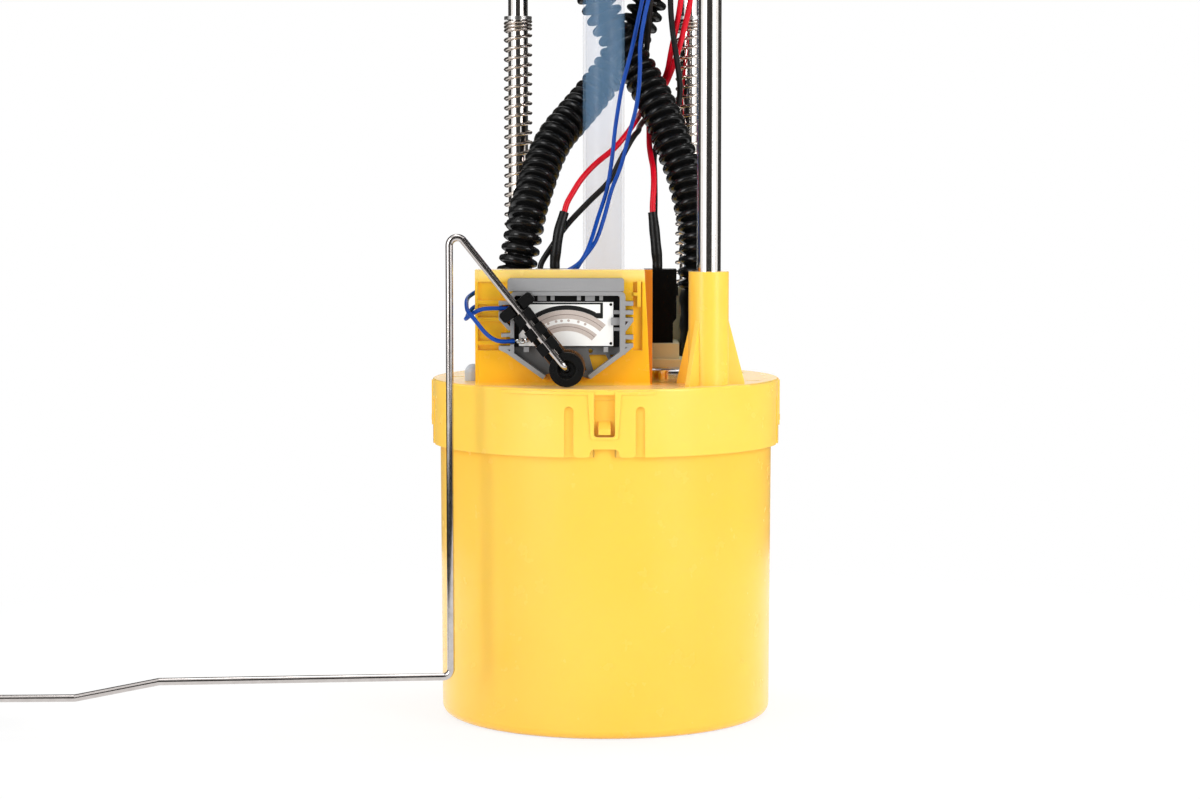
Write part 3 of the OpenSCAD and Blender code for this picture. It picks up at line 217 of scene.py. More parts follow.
# Upright cards: a wide one behind the camera, and one at each side of the backdrop
card = Finish("studio_card", (0.015, 0.014, 0.013), 0.9)
card_high, card_middle = 2.2, 0.5
hung = []
for name, across, away, wide, turn in (
        ("card_behind_camera", 0.0, -1.6, 1.5, 0),
        ("card_back_left", -0.78, 0.49, 1.57, 44),
        ("card_back_right", 0.78, 0.49, 1.57, -44)):
    swung = Matrix.Rotation(math.radians(turn), 4, "Z") @ Matrix.Rotation(math.radians(90), 4, "X")
    upright = swung @ Matrix.Diagonal((wide, card_high, 1, 1))
    hung.append(studio_sheet(name, 1, Vector((across, away, card_middle)), upright, card))
# A narrow one hangs high on the right, in the plane across the arm's slanting stretch
short, long = Vector((0.622, 0, -0.783)), Vector((0.343, 0.899, 0.272)).normalized()
tilted = Matrix((short * 0.34, long * 1.9, short.cross(long))).transposed().to_4x4()
hung.append(studio_sheet("card_high_right", 1, Vector((0.6, -0.45, 0.65)), tilted, card))
for dark in hung:
    dark.visible_camera = dark.visible_diffuse = False
    dark.visible_shadow = dark.visible_transmission = False

# Each soft box has its power in watts, width and height in metres, and place
lid_middle = Vector((0, 0, 0.14))
for name, power, wide, high, place in (
        ("key_lamp", 16, 0.6, 1.2, (1.3, -1.2, 0.7)),
        ("fill_lamp", 11, 0.6, 1.2, (-1.2, -1.25, 0.65)),
        ("top_lamp", 13, 1.1, 1.1, (0.1, 0.1, 1.7)),
        ("back_left", 7, 0.8, 0.8, (-1.1, 0.7, 0.7)),
        ("back_right", 7, 0.8, 0.8, (1.1, 0.7, 0.7))):
    box = bpy.data.lights.new(name, "AREA")
    box.shape = "RECTANGLE"
    box.energy, box.size, box.size_y = power, wide, high
    lamp = bpy.data.objects.new(name, box)
    lamp.location = place
    lamp.rotation_euler = (lid_middle - Vector(place)).to_track_quat("-Z", "Y").to_euler()
    bpy.context.scene.collection.objects.link(lamp)


# --- Reservoir: bucket and lid ---
# Two injection mouldings in unfilled amber acetal. The wax-like plastic lets a little light in,
# so thin edges glow, and its moulded skin is smooth with faint flow clouds and handling marks.
def dress(finish, *nodes):
    """Puts a finish on CAD nodes whose shape is right as it is."""
    for name in nodes:
        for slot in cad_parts[name].material_slots:
            slot.material = finish.material


def amber(name, light, deep):
    """The plastic, with the clouded tone of its skin for the piece to use."""
    plastic = Finish(name, light, 0.3, **{
        "Subsurface Weight": 0.2, "Subsurface Radius": (1.0, 0.45, 0.08), "Subsurface Scale": 0.004,
        "Specular IOR Level": 0.5, "Sheen Weight": 0.25, "Sheen Roughness": 0.35,
        "Sheen Tint": (1.0, 0.86, 0.78, 1)})
    clouds = plastic.ramp(plastic.noise(14, 2), (0.3, (0, 0, 0)), (0.75, (1, 1, 1)))
    handled = plastic.noise(130, 5)
    plastic.rough(0.25, 0.08, handled)
    plastic.relief(plastic.noise(2600, 2) * 0.25 + handled, 0.000025, edge=0.00035)
    return plastic, plastic.mix(clouds, light, deep)


bucket_plastic, bucket_tone = amber("amber_acetal_bucket", (1.0, 0.6, 0.08), (0.99, 0.54, 0.045))
bucket_plastic.colour(bucket_tone)
dress(bucket_plastic, "reservoir_bucket")

# The tower's thin front wall, with only the dark inside behind it, is painted a deeper amber than
# the rest as painted shade, and paler along its top edge as painted light, where light comes
# through
lid_plastic, lid_tone = amber("amber_acetal_lid", (1.0, 0.64, 0.1), (1.0, 0.58, 0.055))
tower_left, tower_right = -44.5 * MM, 17 * MM
tower_front, tower_back = -43.5 * MM, -29 * MM
tower_foot, tower_rise, above_tower = 116.5 * MM, 38.5 * MM, 158 * MM


def within(axis, low, high, soft=1.2 * MM):
    """1 between two places along an axis, and 0 outside them, with a soft edge."""
    at = lid_plastic.along(axis)
    return (at - low).math("MINIMUM", high - at).math("MULTIPLY", 1 / soft, clamp=True)


front = within("Y", tower_front, tower_back)
wall = within("X", tower_left, tower_right) * front * within("Z", tower_foot, above_tower)
rise = (lid_plastic.along("Z") - tower_foot) * (1 / tower_rise)
wall_painted_shade_and_light = lid_plastic.ramp(rise, (0.0, (1.0, 0.47, 0.004)), (0.6, (1.0, 0.52, 0.006)),
                             (0.88, (1.0, 0.55, 0.02)), (0.95, (1.0, 0.7, 0.2)))
lid_painted_shade_and_light = lid_plastic.mix(wall, lid_tone, wall_painted_shade_and_light)
# Painted shade: past a sloping edge, the right flank is painted a dark orange for the shade where
# it leans back
flank_left, flank_right, flank_edge, flank_lean = 10 * MM, 16.5 * MM, 21.1 * MM, 0.054
past_edge = lid_plastic.along("Z") * flank_lean + lid_plastic.along("X") > flank_edge
flank_painted_shade = (within("X", flank_left, flank_right) * front * past_edge
         * within("Z", tower_foot, above_tower, soft=0.4 * MM))
lid_plastic.colour(lid_plastic.mix(flank_painted_shade, lid_painted_shade_and_light, (0.62, 0.2, 0.002)))
dress(lid_plastic, "reservoir_lid")


# --- Fill valve and vent cap ---
# An umbrella valve of nitrile rubber in the bucket's floor, and a grey plastic vent button that
# is pushed into the lid.
rubber = Finish("valve_rubber", (0.035, 0.034, 0.034), 0.62)
bloom = rubber.noise(500, 4)
rubber.colour(rubber.mix(bloom, (0.022, 0.022, 0.022), (0.06, 0.058, 0.056)))
rubber.relief(bloom, 0.00004)
dress(rubber, "fill_valve", "pump_isolators", "flange_seal")

vent_plastic = Finish("vent_plastic", (0.5, 0.53, 0.58), 0.4)
vent_grain = vent_plastic.noise(900, 3)
vent_plastic.rough(0.4, 0.1, vent_grain)
vent_plastic.relief(vent_grain, 0.00003, edge=0.0003)
dress(vent_plastic, "vent_cap")


# --- Pump cans and end caps ---
# Each pump is a rolled can of bright plated steel with a cream acetal cap crimped into its top.
# The cap carries the hose barb, the brush arms and the step under the plug.
can_steel = Finish("can_steel", (0.78, 0.77, 0.76), 0.12, Metallic=1.0)
can_lines = can_steel.noise(60, 2, stretch=(1, 1, 40))
can_steel.rough(0.13, 0.06, can_lines)
can_steel.relief(can_lines, 0.00001)
dress(can_steel, "pump_can_left", "pump_can_right")

cap_plastic = Finish("cap_plastic", (0.74, 0.71, 0.5), 0.38, **{
    "Subsurface Weight": 0.15, "Subsurface Radius": (1, 0.8, 0.5), "Subsurface Scale": 0.002})
cap_cloud = cap_plastic.noise(60, 3)
cap_plastic.colour(cap_plastic.mix(cap_cloud, (0.76, 0.73, 0.53), (0.66, 0.62, 0.41)))
cap_plastic.relief(cap_plastic.noise(1400, 2), 0.00003, edge=0.0003)
dress(cap_plastic, "end_cap_left", "end_cap_right")


# --- Power plugs ---
# Black glass-filled nylon plugs with a side catch, each moulded in one shot and pushed over
# the blades of its pump's cap.
plug_plastic = Finish("plug_plastic", (0.002, 0.002, 0.002), 0.25, **{"Specular IOR Level": 0.1})
plug_grain = plug_plastic.noise(1500, 3)
plug_plastic.rough(0.4, 0.12, plug_plastic.noise(200, 3))
plug_plastic.relief(plug_grain, 0.00005, edge=0.0004)
dress(plug_plastic, "power_plug_left", "power_plug_right")


# --- Inside the pumps and the bucket ---
# Working pieces that the cans and the bucket hide: covers, impellers and valves of filled
# plastic, ferrite magnets, armatures of stacked steel sheets, carbon brushes and woven strainers.
inlet_plastic = Finish("inlet_plastic", (0.2, 0.2, 0.21), 0.5)
inlet_plastic.relief(inlet_plastic.noise(1100, 3), 0.00004)
dress(inlet_plastic, "inlet_cover_left", "inlet_cover_right")

moving_plastic = Finish("moving_plastic", (0.05, 0.045, 0.04), 0.5)
moving_plastic.relief(moving_plastic.noise(1300, 3), 0.00004)
dress(moving_plastic, "impeller_left", "impeller_right", "check_valve_left", "check_valve_right")

ferrite = Finish("magnet", (0.06, 0.06, 0.065), 0.6)
ferrite.relief(ferrite.noise(2200, 4), 0.00005)
dress(ferrite, "pump_magnets_left", "pump_magnets_right")

laminations = Finish("armature_steel", (0.5, 0.49, 0.48), 0.35, Metallic=1.0)
sheets = laminations.add("ShaderNodeTexWave", {"bands_direction": "Z"}, {
    "Vector": laminations.place, "Scale": 320.0, "Distortion": 0.2})
laminations.relief(sheets, 0.00005)
dress(laminations, "armature_left", "armature_right")

carbon = Finish("brush_carbon", (0.03, 0.03, 0.032), 0.55)
carbon.relief(carbon.noise(3000, 4), 0.00003)
dress(carbon, "pump_brushes")

mesh_cloth = Finish("strainer_mesh", (0.78, 0.78, 0.72), 0.7)
warp = mesh_cloth.add("ShaderNodeTexWave", {"bands_direction": "X"}, {
    "Vector": mesh_cloth.place, "Scale": 420.0})
weft = mesh_cloth.add("ShaderNodeTexWave", {"bands_direction": "Y"}, {
    "Vector": mesh_cloth.place, "Scale": 420.0})
mesh_cloth.colour(mesh_cloth.mix(warp * weft, (0.5, 0.5, 0.45), (0.85, 0.85, 0.8)))
mesh_cloth.relief(warp * weft, 0.0001)
dress(mesh_cloth, "strainer_left", "strainer_right")


# --- Guide rods, clips and collars ---
# Centreless-ground stainless bar with faint rings from the grinding wheel. Stamped clips snap
# into the rods under the lid, and stamped collars hold the springs' upper ends.
rod_steel = Finish("rod_steel", (0.9, 0.87, 0.84), 0.1, Metallic=1.0)
ground = rod_steel.noise(120, 3, stretch=(1, 1, 14))
smears = rod_steel.noise(220, 5)
rod_steel.colour(rod_steel.mix(smears, (0.95, 0.92, 0.89), (0.8, 0.75, 0.7)))
rod_steel.rough(0.09, 0.05, ground)
rod_steel.relief(ground, 0.000006)
dress(rod_steel, "guide_rod_left", "guide_rod_right", "guide_rod_front")

clip_steel = Finish("clip_steel", (0.55, 0.54, 0.53), 0.28, Metallic=1.0)
clip_steel.relief(clip_steel.noise(900, 3), 0.00001, edge=0.0001)
dress(clip_steel, "rod_clips", "spring_collars", "float_clip")


# --- Springs ---
# Compression springs of bright 1.2 mm wire, one round each back rod. The open turns run from the
# lid's boss up to a few closed turns under the collar.
def finished(shape, name, finish, sharp=0.7):
    """Turns a bmesh into an object at the origin, creased where it folds by more than sharp."""
    bmesh.ops.recalc_face_normals(shape, faces=shape.faces)
    for face in shape.faces:
        face.smooth = True
    for edge in shape.edges:
        edge.smooth = edge.calc_face_angle(0.0) < sharp
    mesh = bpy.data.meshes.new(name)
    shape.to_mesh(mesh)
    shape.free()
    mesh.materials.append(finish.material)
    made = bpy.data.objects.new(name, mesh)
    bpy.context.scene.collection.objects.link(made)
    return made


spring_steel = Finish("spring_steel", (0.78, 0.72, 0.66), 0.18, Metallic=1.0)
wire_marks = spring_steel.noise(700, 4)
spring_steel.colour(spring_steel.mix(wire_marks, (0.85, 0.78, 0.72), (0.66, 0.58, 0.52)))
spring_steel.rough(0.18, 0.07, wire_marks)
rod_behind = 30 * MM
spring_foot, spring_head = 122.6 * MM, 240.7 * MM
spring_radius, wire_radius = 4.5 * MM, 0.6 * MM
wire_sides, steps_per_turn = 10, 28
closed_below, open_turns, closed_above = 1.5, 33, 2.5
closed_pitch = 2.1 * wire_radius
open_height = spring_head - spring_foot - (closed_below + closed_above) * closed_pitch


def spring(side, across):
    coil = bmesh.new()
    ring = bmesh.ops.create_circle(coil, cap_ends=True, segments=wire_sides, radius=wire_radius)
    upright = Matrix.Rotation(math.radians(90), 4, "X")
    start = Matrix.Translation((across + spring_radius, rod_behind, spring_foot))
    bmesh.ops.transform(coil, matrix=start @ upright, verts=ring["verts"])
    front = list(coil.edges)
    for turns, pitch in ((closed_below, closed_pitch), (open_turns, open_height / open_turns),
                         (closed_above, closed_pitch)):
        steps = round(steps_per_turn * turns)
        wound = bmesh.ops.spin(coil, geom=front, cent=(across, rod_behind, 0), axis=(0, 0, 1),
                               angle=math.tau * turns, steps=steps,
                               dvec=(0, 0, pitch * turns / steps), use_merge=False)
        front = [part for part in wound["geom_last"] if isinstance(part, bmesh.types.BMEdge)]
    bmesh.ops.contextual_create(coil, geom=front)
    made = finished(coil, "coil_" + side, spring_steel)
    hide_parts("spring_" + side)
    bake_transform(made)


spring("left", -31.1 * MM)
spring("right", 29.9 * MM)


# --- Return tube ---
# A milky clear polymer tube that hangs from the flange into the bucket. It scatters blue light
# over dark things behind it and passes a warm white over pale ones, most strongly at its edges.
tube_plastic = Finish("clear_tube", (0.32, 0.62, 1.0), 0.1)
passing = tube_plastic.add("ShaderNodeBsdfTransparent", None, {"Color": (1.0, 0.975, 0.955, 1)})
facing = tube_plastic.add("ShaderNodeLayerWeight", None, {"Blend": 0.35}, "Facing")
wall_share = facing.math("POWER", 5.0) * 0.25 + 0.095
tube_plastic.shown_by(tube_plastic.add("ShaderNodeMixShader", None, {
    0: wall_share, 1: passing, 2: tube_plastic.surface}))
dress(tube_plastic, "return_tube")


# --- Tank flange, seal, nipples and electrical connector ---
# A black acetal plate with a collar, ribs and a nitrile ring, quick-connect nipples moulded in,
# and a grey connector shroud with ten blades. The photograph ends below it.
flange_acetal = Finish("flange_acetal", (0.018, 0.018, 0.02), 0.42)
flange_cloud = flange_acetal.noise(90, 4)
flange_acetal.colour(flange_acetal.mix(flange_cloud, (0.014, 0.014, 0.015), (0.03, 0.03, 0.032)))
flange_acetal.rough(0.42, 0.1, flange_cloud)
flange_acetal.relief(flange_acetal.noise(1800, 3), 0.00006, edge=0.0006)
dress(flange_acetal, "flange_plate", "outlet_nipples", "return_nipple")

shroud = Finish("connector_plastic", (0.2, 0.21, 0.23), 0.45)
shroud.rough(0.45, 0.1, shroud.noise(150, 3))
shroud.relief(shroud.noise(1500, 3), 0.00004, edge=0.0004)
dress(shroud, "connector_housing")

blade_brass = Finish("pin_brass", (0.72, 0.6, 0.36), 0.25, Metallic=1.0)
blade_brass.rough(0.26, 0.08, blade_brass.noise(800, 3))
dress(blade_brass, "connector_pins")


# --- Hoses and their cuffs ---
# Corrugated black nylon fuel hoses, blow-moulded with rounded crests, that cross behind the
# return tube. Shrunk rubber cuffs hold them on the pumps' barbs and on the flange's outlets.
def eased(points, steps):
    """A smooth curve through a route's points, with that many steps between two of them."""
    curve = []
    for i in range(len(points) - 1):
        before, here = points[max(i - 1, 0)], points[i]
        there, after = points[i + 1], points[min(i + 2, len(points) - 1)]
        for step in range(steps):
            t = step / steps
            curve.append(0.5 * (2 * here + (there - before) * t
                                + (2 * before - 5 * here + 4 * there - after) * t * t
                                + (3 * here - before - 3 * there + after) * t ** 3))
    return curve + [points[-1]]


def route_length(points):
    return sum((b - a).length for a, b in zip(points, points[1:]))


def spaced(points, count):
    """The same route as count equal steps."""
    step, places, leg, walked = route_length(points) / count, [points[0]], 0, 0.0
    for i in range(1, count):
        while leg < len(points) - 2 and walked + (points[leg + 1] - points[leg]).length < i * step:
            walked += (points[leg + 1] - points[leg]).length
            leg += 1
        span = points[leg + 1] - points[leg]
        places.append(points[leg] + span * ((i * step - walked) / span.length))
    return places + [points[-1]]


def drawn(points, radii, sides, seed=(0, 1, 0)):
    """A round section carried along a route, ring by ring, as cord and wire are drawn."""
    places, side = [], Vector(seed)
    for i, point in enumerate(points):
        ahead = (points[min(i + 1, len(points) - 1)] - points[max(i - 1, 0)]).normalized()
        side = (side - ahead * side.dot(ahead)).normalized()
        turn = Matrix((side, ahead.cross(side), ahead)).transposed().to_4x4()
        places.append(Matrix.Translation(point) @ turn)
    body = bmesh.new()
    ring = bmesh.ops.create_circle(body, cap_ends=True, segments=sides, radius=radii[0])["verts"]
    bmesh.ops.transform(body, matrix=places[0], verts=ring)
    edges = list(body.edges)
    for i in range(1, len(points)):
        grown = bmesh.ops.extrude_edge_only(body, edges=edges)["geom"]
        ring = {part for part in grown if isinstance(part, bmesh.types.BMVert)}
        edges = [part for part in grown
                 if isinstance(part, bmesh.types.BMEdge) and ring.issuperset(part.verts)]
        step = places[i] @ Matrix.Scale(radii[i] / radii[i - 1], 4) @ places[i - 1].inverted()
        bmesh.ops.transform(body, matrix=step, verts=list(ring))
    bmesh.ops.contextual_create(body, geom=edges)
    return body


def route(*points):
    return [Vector(point) * MM for point in points]


hose_nylon = Finish("hose_nylon", (0.004, 0.004, 0.004), 0.2, **{"Specular IOR Level": 0.3})
hose_dust = hose_nylon.noise(350, 4)
hose_nylon.colour(hose_nylon.mix(hose_dust, (0.003, 0.003, 0.003), (0.009, 0.009, 0.009)))
hose_nylon.rough(0.2, 0.08, hose_nylon.noise(180, 3))
hose_nylon.relief(hose_nylon.noise(1200, 3), 0.00002)
hose_pitch, hose_sides = 4.0 * MM, 24
# One crest of the corrugation: how far along it, and the radius there in millimetres
steps_per_crest = 20
corrugation = ((0.0, 4.1), (0.05, 4.3), (0.15, 5.5), (0.25, 6.3), (0.35, 6.65), (0.5, 6.75),
               (0.65, 6.65), (0.75, 6.3), (0.85, 5.5), (0.95, 4.3))


def hose(side, points):
    line = eased(points, 6)
    crests = round(route_length(line) / hose_pitch)
    fine = spaced(line, crests * steps_per_crest)
    rings = [(crest + at, radius * MM) for crest in range(crests) for at, radius in corrugation]
    rings.append((crests, corrugation[0][1] * MM))
    body = drawn([fine[round(at * steps_per_crest)] for at, _ in rings],
                 [radius for _, radius in rings], hose_sides)
    made = finished(body, "corrugated_hose_" + side, hose_nylon, sharp=1.4)
    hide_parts("hose_" + side)
    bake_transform(made)


hose("left", route(
    (-31.5, -6, 147), (-31.4, -6, 150), (-30.8, -6, 153.5), (-29.5, -5.5, 160),
    (-28.1, -4, 167.5), (-26.5, 0, 175.5), (-24.1, 6, 183.4), (-21.5, 12, 191.4),
    (-17.5, 18, 199.5), (-11.5, 25, 207), (-6.5, 31, 213), (-1, 35, 220), (5, 38, 229),
    (10.8, 39.5, 238), (14.5, 40, 246), (17, 39.5, 255), (18, 38.5, 265), (18, 38, 274),
    (18, 38, 278), (18, 38, 282)))
hose("right", route(
    (31.5, -6, 147), (31.5, -6, 150), (31.5, -6, 153.5), (31.9, -5.2, 160), (31.5, -3.5, 168),
    (30, -1, 176), (27.6, 3, 186), (23.5, 7.5, 197), (20, 12, 206.5), (16, 17, 215),
    (11.5, 21, 223), (6.5, 23.5, 231), (1, 25, 240), (-3, 25.5, 248), (-7, 26, 258),
    (-10.5, 26, 267), (-12, 26, 274), (-12, 26, 278), (-12, 26, 282)))


def turned(outline, centre, steps=48):
    """A closed outline of radius and height, in millimetres, spun round an upright axis."""
    shape = bmesh.new()
    corners = [shape.verts.new((centre[0] + r * MM, centre[1], z * MM)) for r, z in outline]
    rim = [shape.edges.new((a, b)) for a, b in zip(corners, corners[1:] + corners[:1])]
    bmesh.ops.spin(shape, geom=corners + rim, cent=(*centre, 0), axis=(0, 0, 1), angle=math.tau,
                   steps=steps, use_merge=True)
    bmesh.ops.remove_doubles(shape, verts=shape.verts, dist=0.00001)
    return shape


cuff_rubber = Finish("cuff_rubber", (0.005, 0.005, 0.005), 0.28, **{"Specular IOR Level": 0.25})
cuff_rubber.rough(0.3, 0.12, cuff_rubber.noise(250, 3))
cuff_rubber.relief(cuff_rubber.noise(420, 3), 0.0001)
# Shrunk over the barb's ridges, so the outside waves in and out
cuff_outline = (
    (4.1, 124.2), (6.1, 124.2), (6.3, 124.8), (6.25, 127), (5.9, 129.5), (5.75, 132), (6.1, 134.5),
    (6.0, 136.5), (5.6, 138.6), (5.75, 141), (6.2, 143), (6.15, 144.6), (5.7, 146.2), (5.5, 147),
    (4.1, 147))
barb_behind = -6 * MM
for side, across in (("left", -31.5 * MM), ("right", 31.5 * MM)):
    sleeve = turned(cuff_outline, (across, barb_behind))
    cuff = finished(sleeve, "cuff_lower_" + side, cuff_rubber, sharp=1.2)
    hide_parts("hose_cuffs_lower")
    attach(cuff, "reservoir")
dress(cuff_rubber, "hose_cuffs_upper")


# --- Pump leads and splice sleeves ---
# Insulated copper leads run from each plug up to the connector. The red ones are joined to short
# tails under black heat-shrink sleeves just above the plugs.
def insulation(name, light, deep):
    """Smooth extruded insulation with a soft shine and slight marks from handling."""
    finish = Finish(name, light, 0.3, **{"Specular IOR Level": 0.28})
    marks = finish.noise(260, 4)
    finish.colour(finish.mix(marks, light, deep))
    finish.rough(0.34, 0.12, marks)
    finish.relief(finish.noise(900, 2), 0.00003)
    return finish


red = insulation("lead_red", (0.78, 0.002, 0.02), (0.6, 0.001, 0.012))
black = insulation("lead_black", (0.007, 0.007, 0.007), (0.015, 0.015, 0.015))
blue = insulation("lead_blue", (0.0, 0.07, 0.42), (0.0, 0.045, 0.3))
lead_low, lead_high, lead_sides = 155 * MM, 288 * MM, 14


def lead(node, finish, diameter, points, start=None):
    """A lead along its route. A start moves its first end there, and the rest less and less."""
    first, last = points[0], points[-1]
    shift = (start or first) - first
    points = [point + shift * ((last.z - point.z) / (last.z - first.z)) for point in points]
    line = eased(points, 5)
    radii = [diameter * MM / 2] * len(line)
    made = finished(drawn(line, radii, lead_sides), node + "_cord", finish)
    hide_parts(node)
    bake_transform(made)


lead("red_lead_left", red, 2.0, route(
    (-14.2, -11, 173.6), (-13.3, -10.2, 176.7), (-11.5, -9.5, 180), (-8.3, -7.5, 185),
    (-3.6, -4.5, 190.1), (2.7, -3, 195.3), (6.8, -0.5, 200), (9, 5, 203), (10.4, 12.5, 205),
    (11.5, 20, 206.7), (13, 26, 209.5), (16.5, 29.2, 213.8), (19.5, 28.6, 218),
    (21.8, 26.5, 223), (23.2, 22.5, 230.5), (25, 18, 239.5), (26.2, 13, 247.3), (27.5, 8, 262),
    (28, 4, 279), (28, 4, 289)))
lead("red_lead_right", red, 2.0, route(
    (16, -12, 173.6), (16, -11.6, 176.5), (16.4, -9.5, 183), (16.3, -4.5, 188.5),
    (15.7, 3, 192.5), (15.3, 10, 196.3), (15.3, 17, 200.6), (15.6, 23, 206),
    (17.5, 26.4, 212.5), (21.5, 25.5, 219), (24.5, 22.2, 226.7), (27.4, 18, 237),
    (29.6, 14.8, 247.3), (31, 9, 262), (32, 4, 279), (32, 4, 289)))
lead("black_lead_left", black, 2.0, route(
    (-22.5, -11.5, 154.4), (-21.9, -11.4, 156.6), (-19.4, -10.7, 160.6), (-13.5, -8.8, 169),
    (-6, -7, 177), (1, -5.5, 184), (4.8, -4, 191), (8, -2.5, 197), (9.9, 2, 200),
    (11.4, 8, 201.8), (11.8, 15.5, 203.2), (13, 21.5, 205), (14, 27, 206.5), (14, 31.5, 210.5),
    (13, 33, 217), (13.6, 31, 224), (14.6, 27, 231.5), (15.1, 21.5, 238.5), (15.4, 16, 244),
    (15.8, 9, 252), (18, 5, 264), (20, 4, 279), (20, 4, 289)))
lead("black_lead_right", black, 2.0, route(
    (18.4, -9.8, 154.4), (18.2, -9.6, 157), (17.4, -8, 163), (16.9, -4.5, 171), (17, 1, 179),
    (17, 7, 186.5), (17, 14, 192.5), (18.5, 20.5, 198.5), (22, 24.5, 204.5), (25.5, 25, 211),
    (26.2, 22.5, 218), (24.8, 18.4, 228), (23.4, 16.2, 237), (22.6, 13, 247), (23, 8, 262),
    (24, 4, 279), (24, 4, 289)))
lead("blue_lead_front", blue, 1.4, route(
    (-29, -46, 131.2), (-34.4, -46, 131.2), (-38.3, -47, 133.6), (-42.3, -47.6, 138.5),
    (-44.4, -46.8, 141), (-45.1, -42.5, 142.9), (-45.2, -36, 144.6), (-44, -31, 145.9),
    (-40.5, -29.2, 147.4), (-26, -29, 150.6), (-14.5, -29.5, 153), (-8.6, -30.5, 156),
    (-5.9, -29.5, 159.5), (-3.9, -25.5, 164.5), (-1.7, -18.6, 171.8), (1.2, -13, 181.2),
    (2.9, -10, 192.1), (3.9, -9, 202.2), (5.8, -9, 214.7), (7.9, -8, 223.3), (9.6, -7, 230.3),
    (11.9, -5, 241.4), (13.9, -4, 251), (17.5, -4, 265), (20, -4, 279), (20, -4, 289)),
     Vector((-30.2, -46, 131.6)) * MM)
lead("blue_lead_rear", blue, 1.4, route(
    (-29, -46, 142.5), (-34, -46, 142.5), (-39.5, -45.6, 142.2), (-43, -44.4, 140.6),
    (-45.1, -41.5, 138.9), (-45.2, -37, 139), (-44.3, -31, 140.9), (-41, -29.1, 143),
    (-26, -29, 147), (-18, -28.8, 149.5), (-10.6, -28.3, 153), (-6.8, -27.3, 158),
    (-2.5, -22.8, 164), (0.3, -18.5, 171.8), (2.8, -15, 181.2), (6, -12.5, 189.7),
    (8.6, -11, 200), (10.8, -10, 208.5), (11.9, -10, 216.3), (12.2, -9, 223.3),
    (12.2, -9, 230.3), (13.4, -8.5, 239), (15.4, -8, 248), (20, -7.5, 264), (24, -4, 279),
    (24, -4, 289)),
     Vector((-30.2, -46, 142.4)) * MM)

shrink = Finish("sleeve_shrink", (0.006, 0.006, 0.006), 0.32, **{"Specular IOR Level": 0.25})
shrink.rough(0.36, 0.12, shrink.noise(300, 3))
shrink.relief(shrink.noise(500, 3), 0.00012)
sleeve_radius, splice_bulge, sleeve_waves, sleeve_sides = 1.62, 0.2, 0.05, 20
for side, points in (
        ("left", route((-17.4, -13.5, 154.4), (-17.4, -13.5, 157), (-16.9, -13.5, 161.5),
                       (-15.9, -12.5, 167.7), (-14.2, -11, 173.6))),
        ("right", route((17.6, -13.5, 154.4), (17.6, -13.5, 157), (17.2, -13.5, 161.5),
                        (16.6, -12.8, 167.7), (16, -12, 173.6)))):
    line = eased(points, 6)
    # The sleeve bulges over the splice in its middle and grips the lead at its ends
    along = [i / (len(line) - 1) for i in range(len(line))]
    radii = [(sleeve_radius + splice_bulge * math.sin(math.pi * t)
              + sleeve_waves * math.sin(19 * t)) * MM for t in along]
    sleeve = finished(drawn(line, radii, sleeve_sides), "splice_sleeve_" + side, shrink)
    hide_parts("splice_sleeves")
    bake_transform(sleeve)


# --- Level sender frame and card backing ---
# A grey moulded frame that clips into the lid's tower and carries the pivot, with a black insert
# behind the card.
sender_plastic = Finish("sender_plastic", (0.25, 0.26, 0.275), 0.36)
sender_cloud = sender_plastic.noise(110, 4)
sender_grey = sender_plastic.mix(sender_cloud, (0.32, 0.32, 0.325), (0.26, 0.26, 0.265))
# Painted shade: the web lies deep behind the rim, and is painted a darker grey for the rim's shade
web_front = -43.7 * MM
web_painted_shade = sender_plastic.along("Y") > web_front
sender_plastic.colour(sender_plastic.mix(web_painted_shade, sender_grey, (0.13, 0.13, 0.13)))
sender_plastic.rough(0.36, 0.1, sender_cloud)
sender_plastic.relief(sender_plastic.noise(1700, 3), 0.00005, edge=0.0003)
dress(sender_plastic, "sender_frame")

backing_plastic = Finish(
    "backing_plastic", (0.004, 0.004, 0.004), 0.4, **{"Specular IOR Level": 0.2})
backing_plastic.relief(backing_plastic.noise(1500, 3), 0.00005)
dress(backing_plastic, "card_backing")


# --- Resistor card, tracks and terminals ---
# A fired white ceramic card with printed black conductor, two grey-brown resistor arcs round the
# arm's pivot, six trimming dots, and the two sender leads soldered at its left.
pivot_across, pivot_up = -13 * MM, 122.5 * MM


def from_pivot(finish):
    """Distance from the arm's pivot, the place across it and the height over it, in millimetres."""
    across = (finish.along("X") - pivot_across) * (1 / MM)
    up = (finish.along("Z") - pivot_up) * (1 / MM)
    return (across * across + up * up).math("SQRT"), across, up


card_ceramic = Finish("card_ceramic", (0.9, 0.9, 0.885), 0.3)
radius, across, up = from_pivot(card_ceramic)
dot_radius = math.sqrt(0.2)


def between(value, low, high):
    return (value > low) * (value < high)


def dot(x, z):
    right, over = across - x, up - z
    return right * right + over * over < dot_radius ** 2


conductor = between(radius, 19.35, 20.85) * (across < 9.6)
top_line = between(up, 21.15, 21.75) * (across < 12)
side_line = between(across, 11.1, 12) * between(up, 16.5, 21.75)
end_pad = between(across, 9.0, 12) * between(up, 16.5, 18.3)
print_mask = (conductor + top_line + side_line + end_pad).math("MINIMUM", 1.0)
dots = (dot(-6.1, 14.8) + dot(-3.5, 15.5) + dot(-1.7, 15.7) + dot(0.6, 15.8) + dot(3.85, 15.4)
        + dot(6.1, 14.6))
fired = card_ceramic.mix(card_ceramic.noise(300, 3), (0.92, 0.92, 0.9), (0.82, 0.82, 0.8))
card_ceramic.colour(card_ceramic.mix(
    print_mask, card_ceramic.mix(dots, fired, (0.5, 0.42, 0.38)), (0.01, 0.01, 0.01)))
card_ceramic.relief(print_mask, 0.00003)
dress(card_ceramic, "resistor_card")

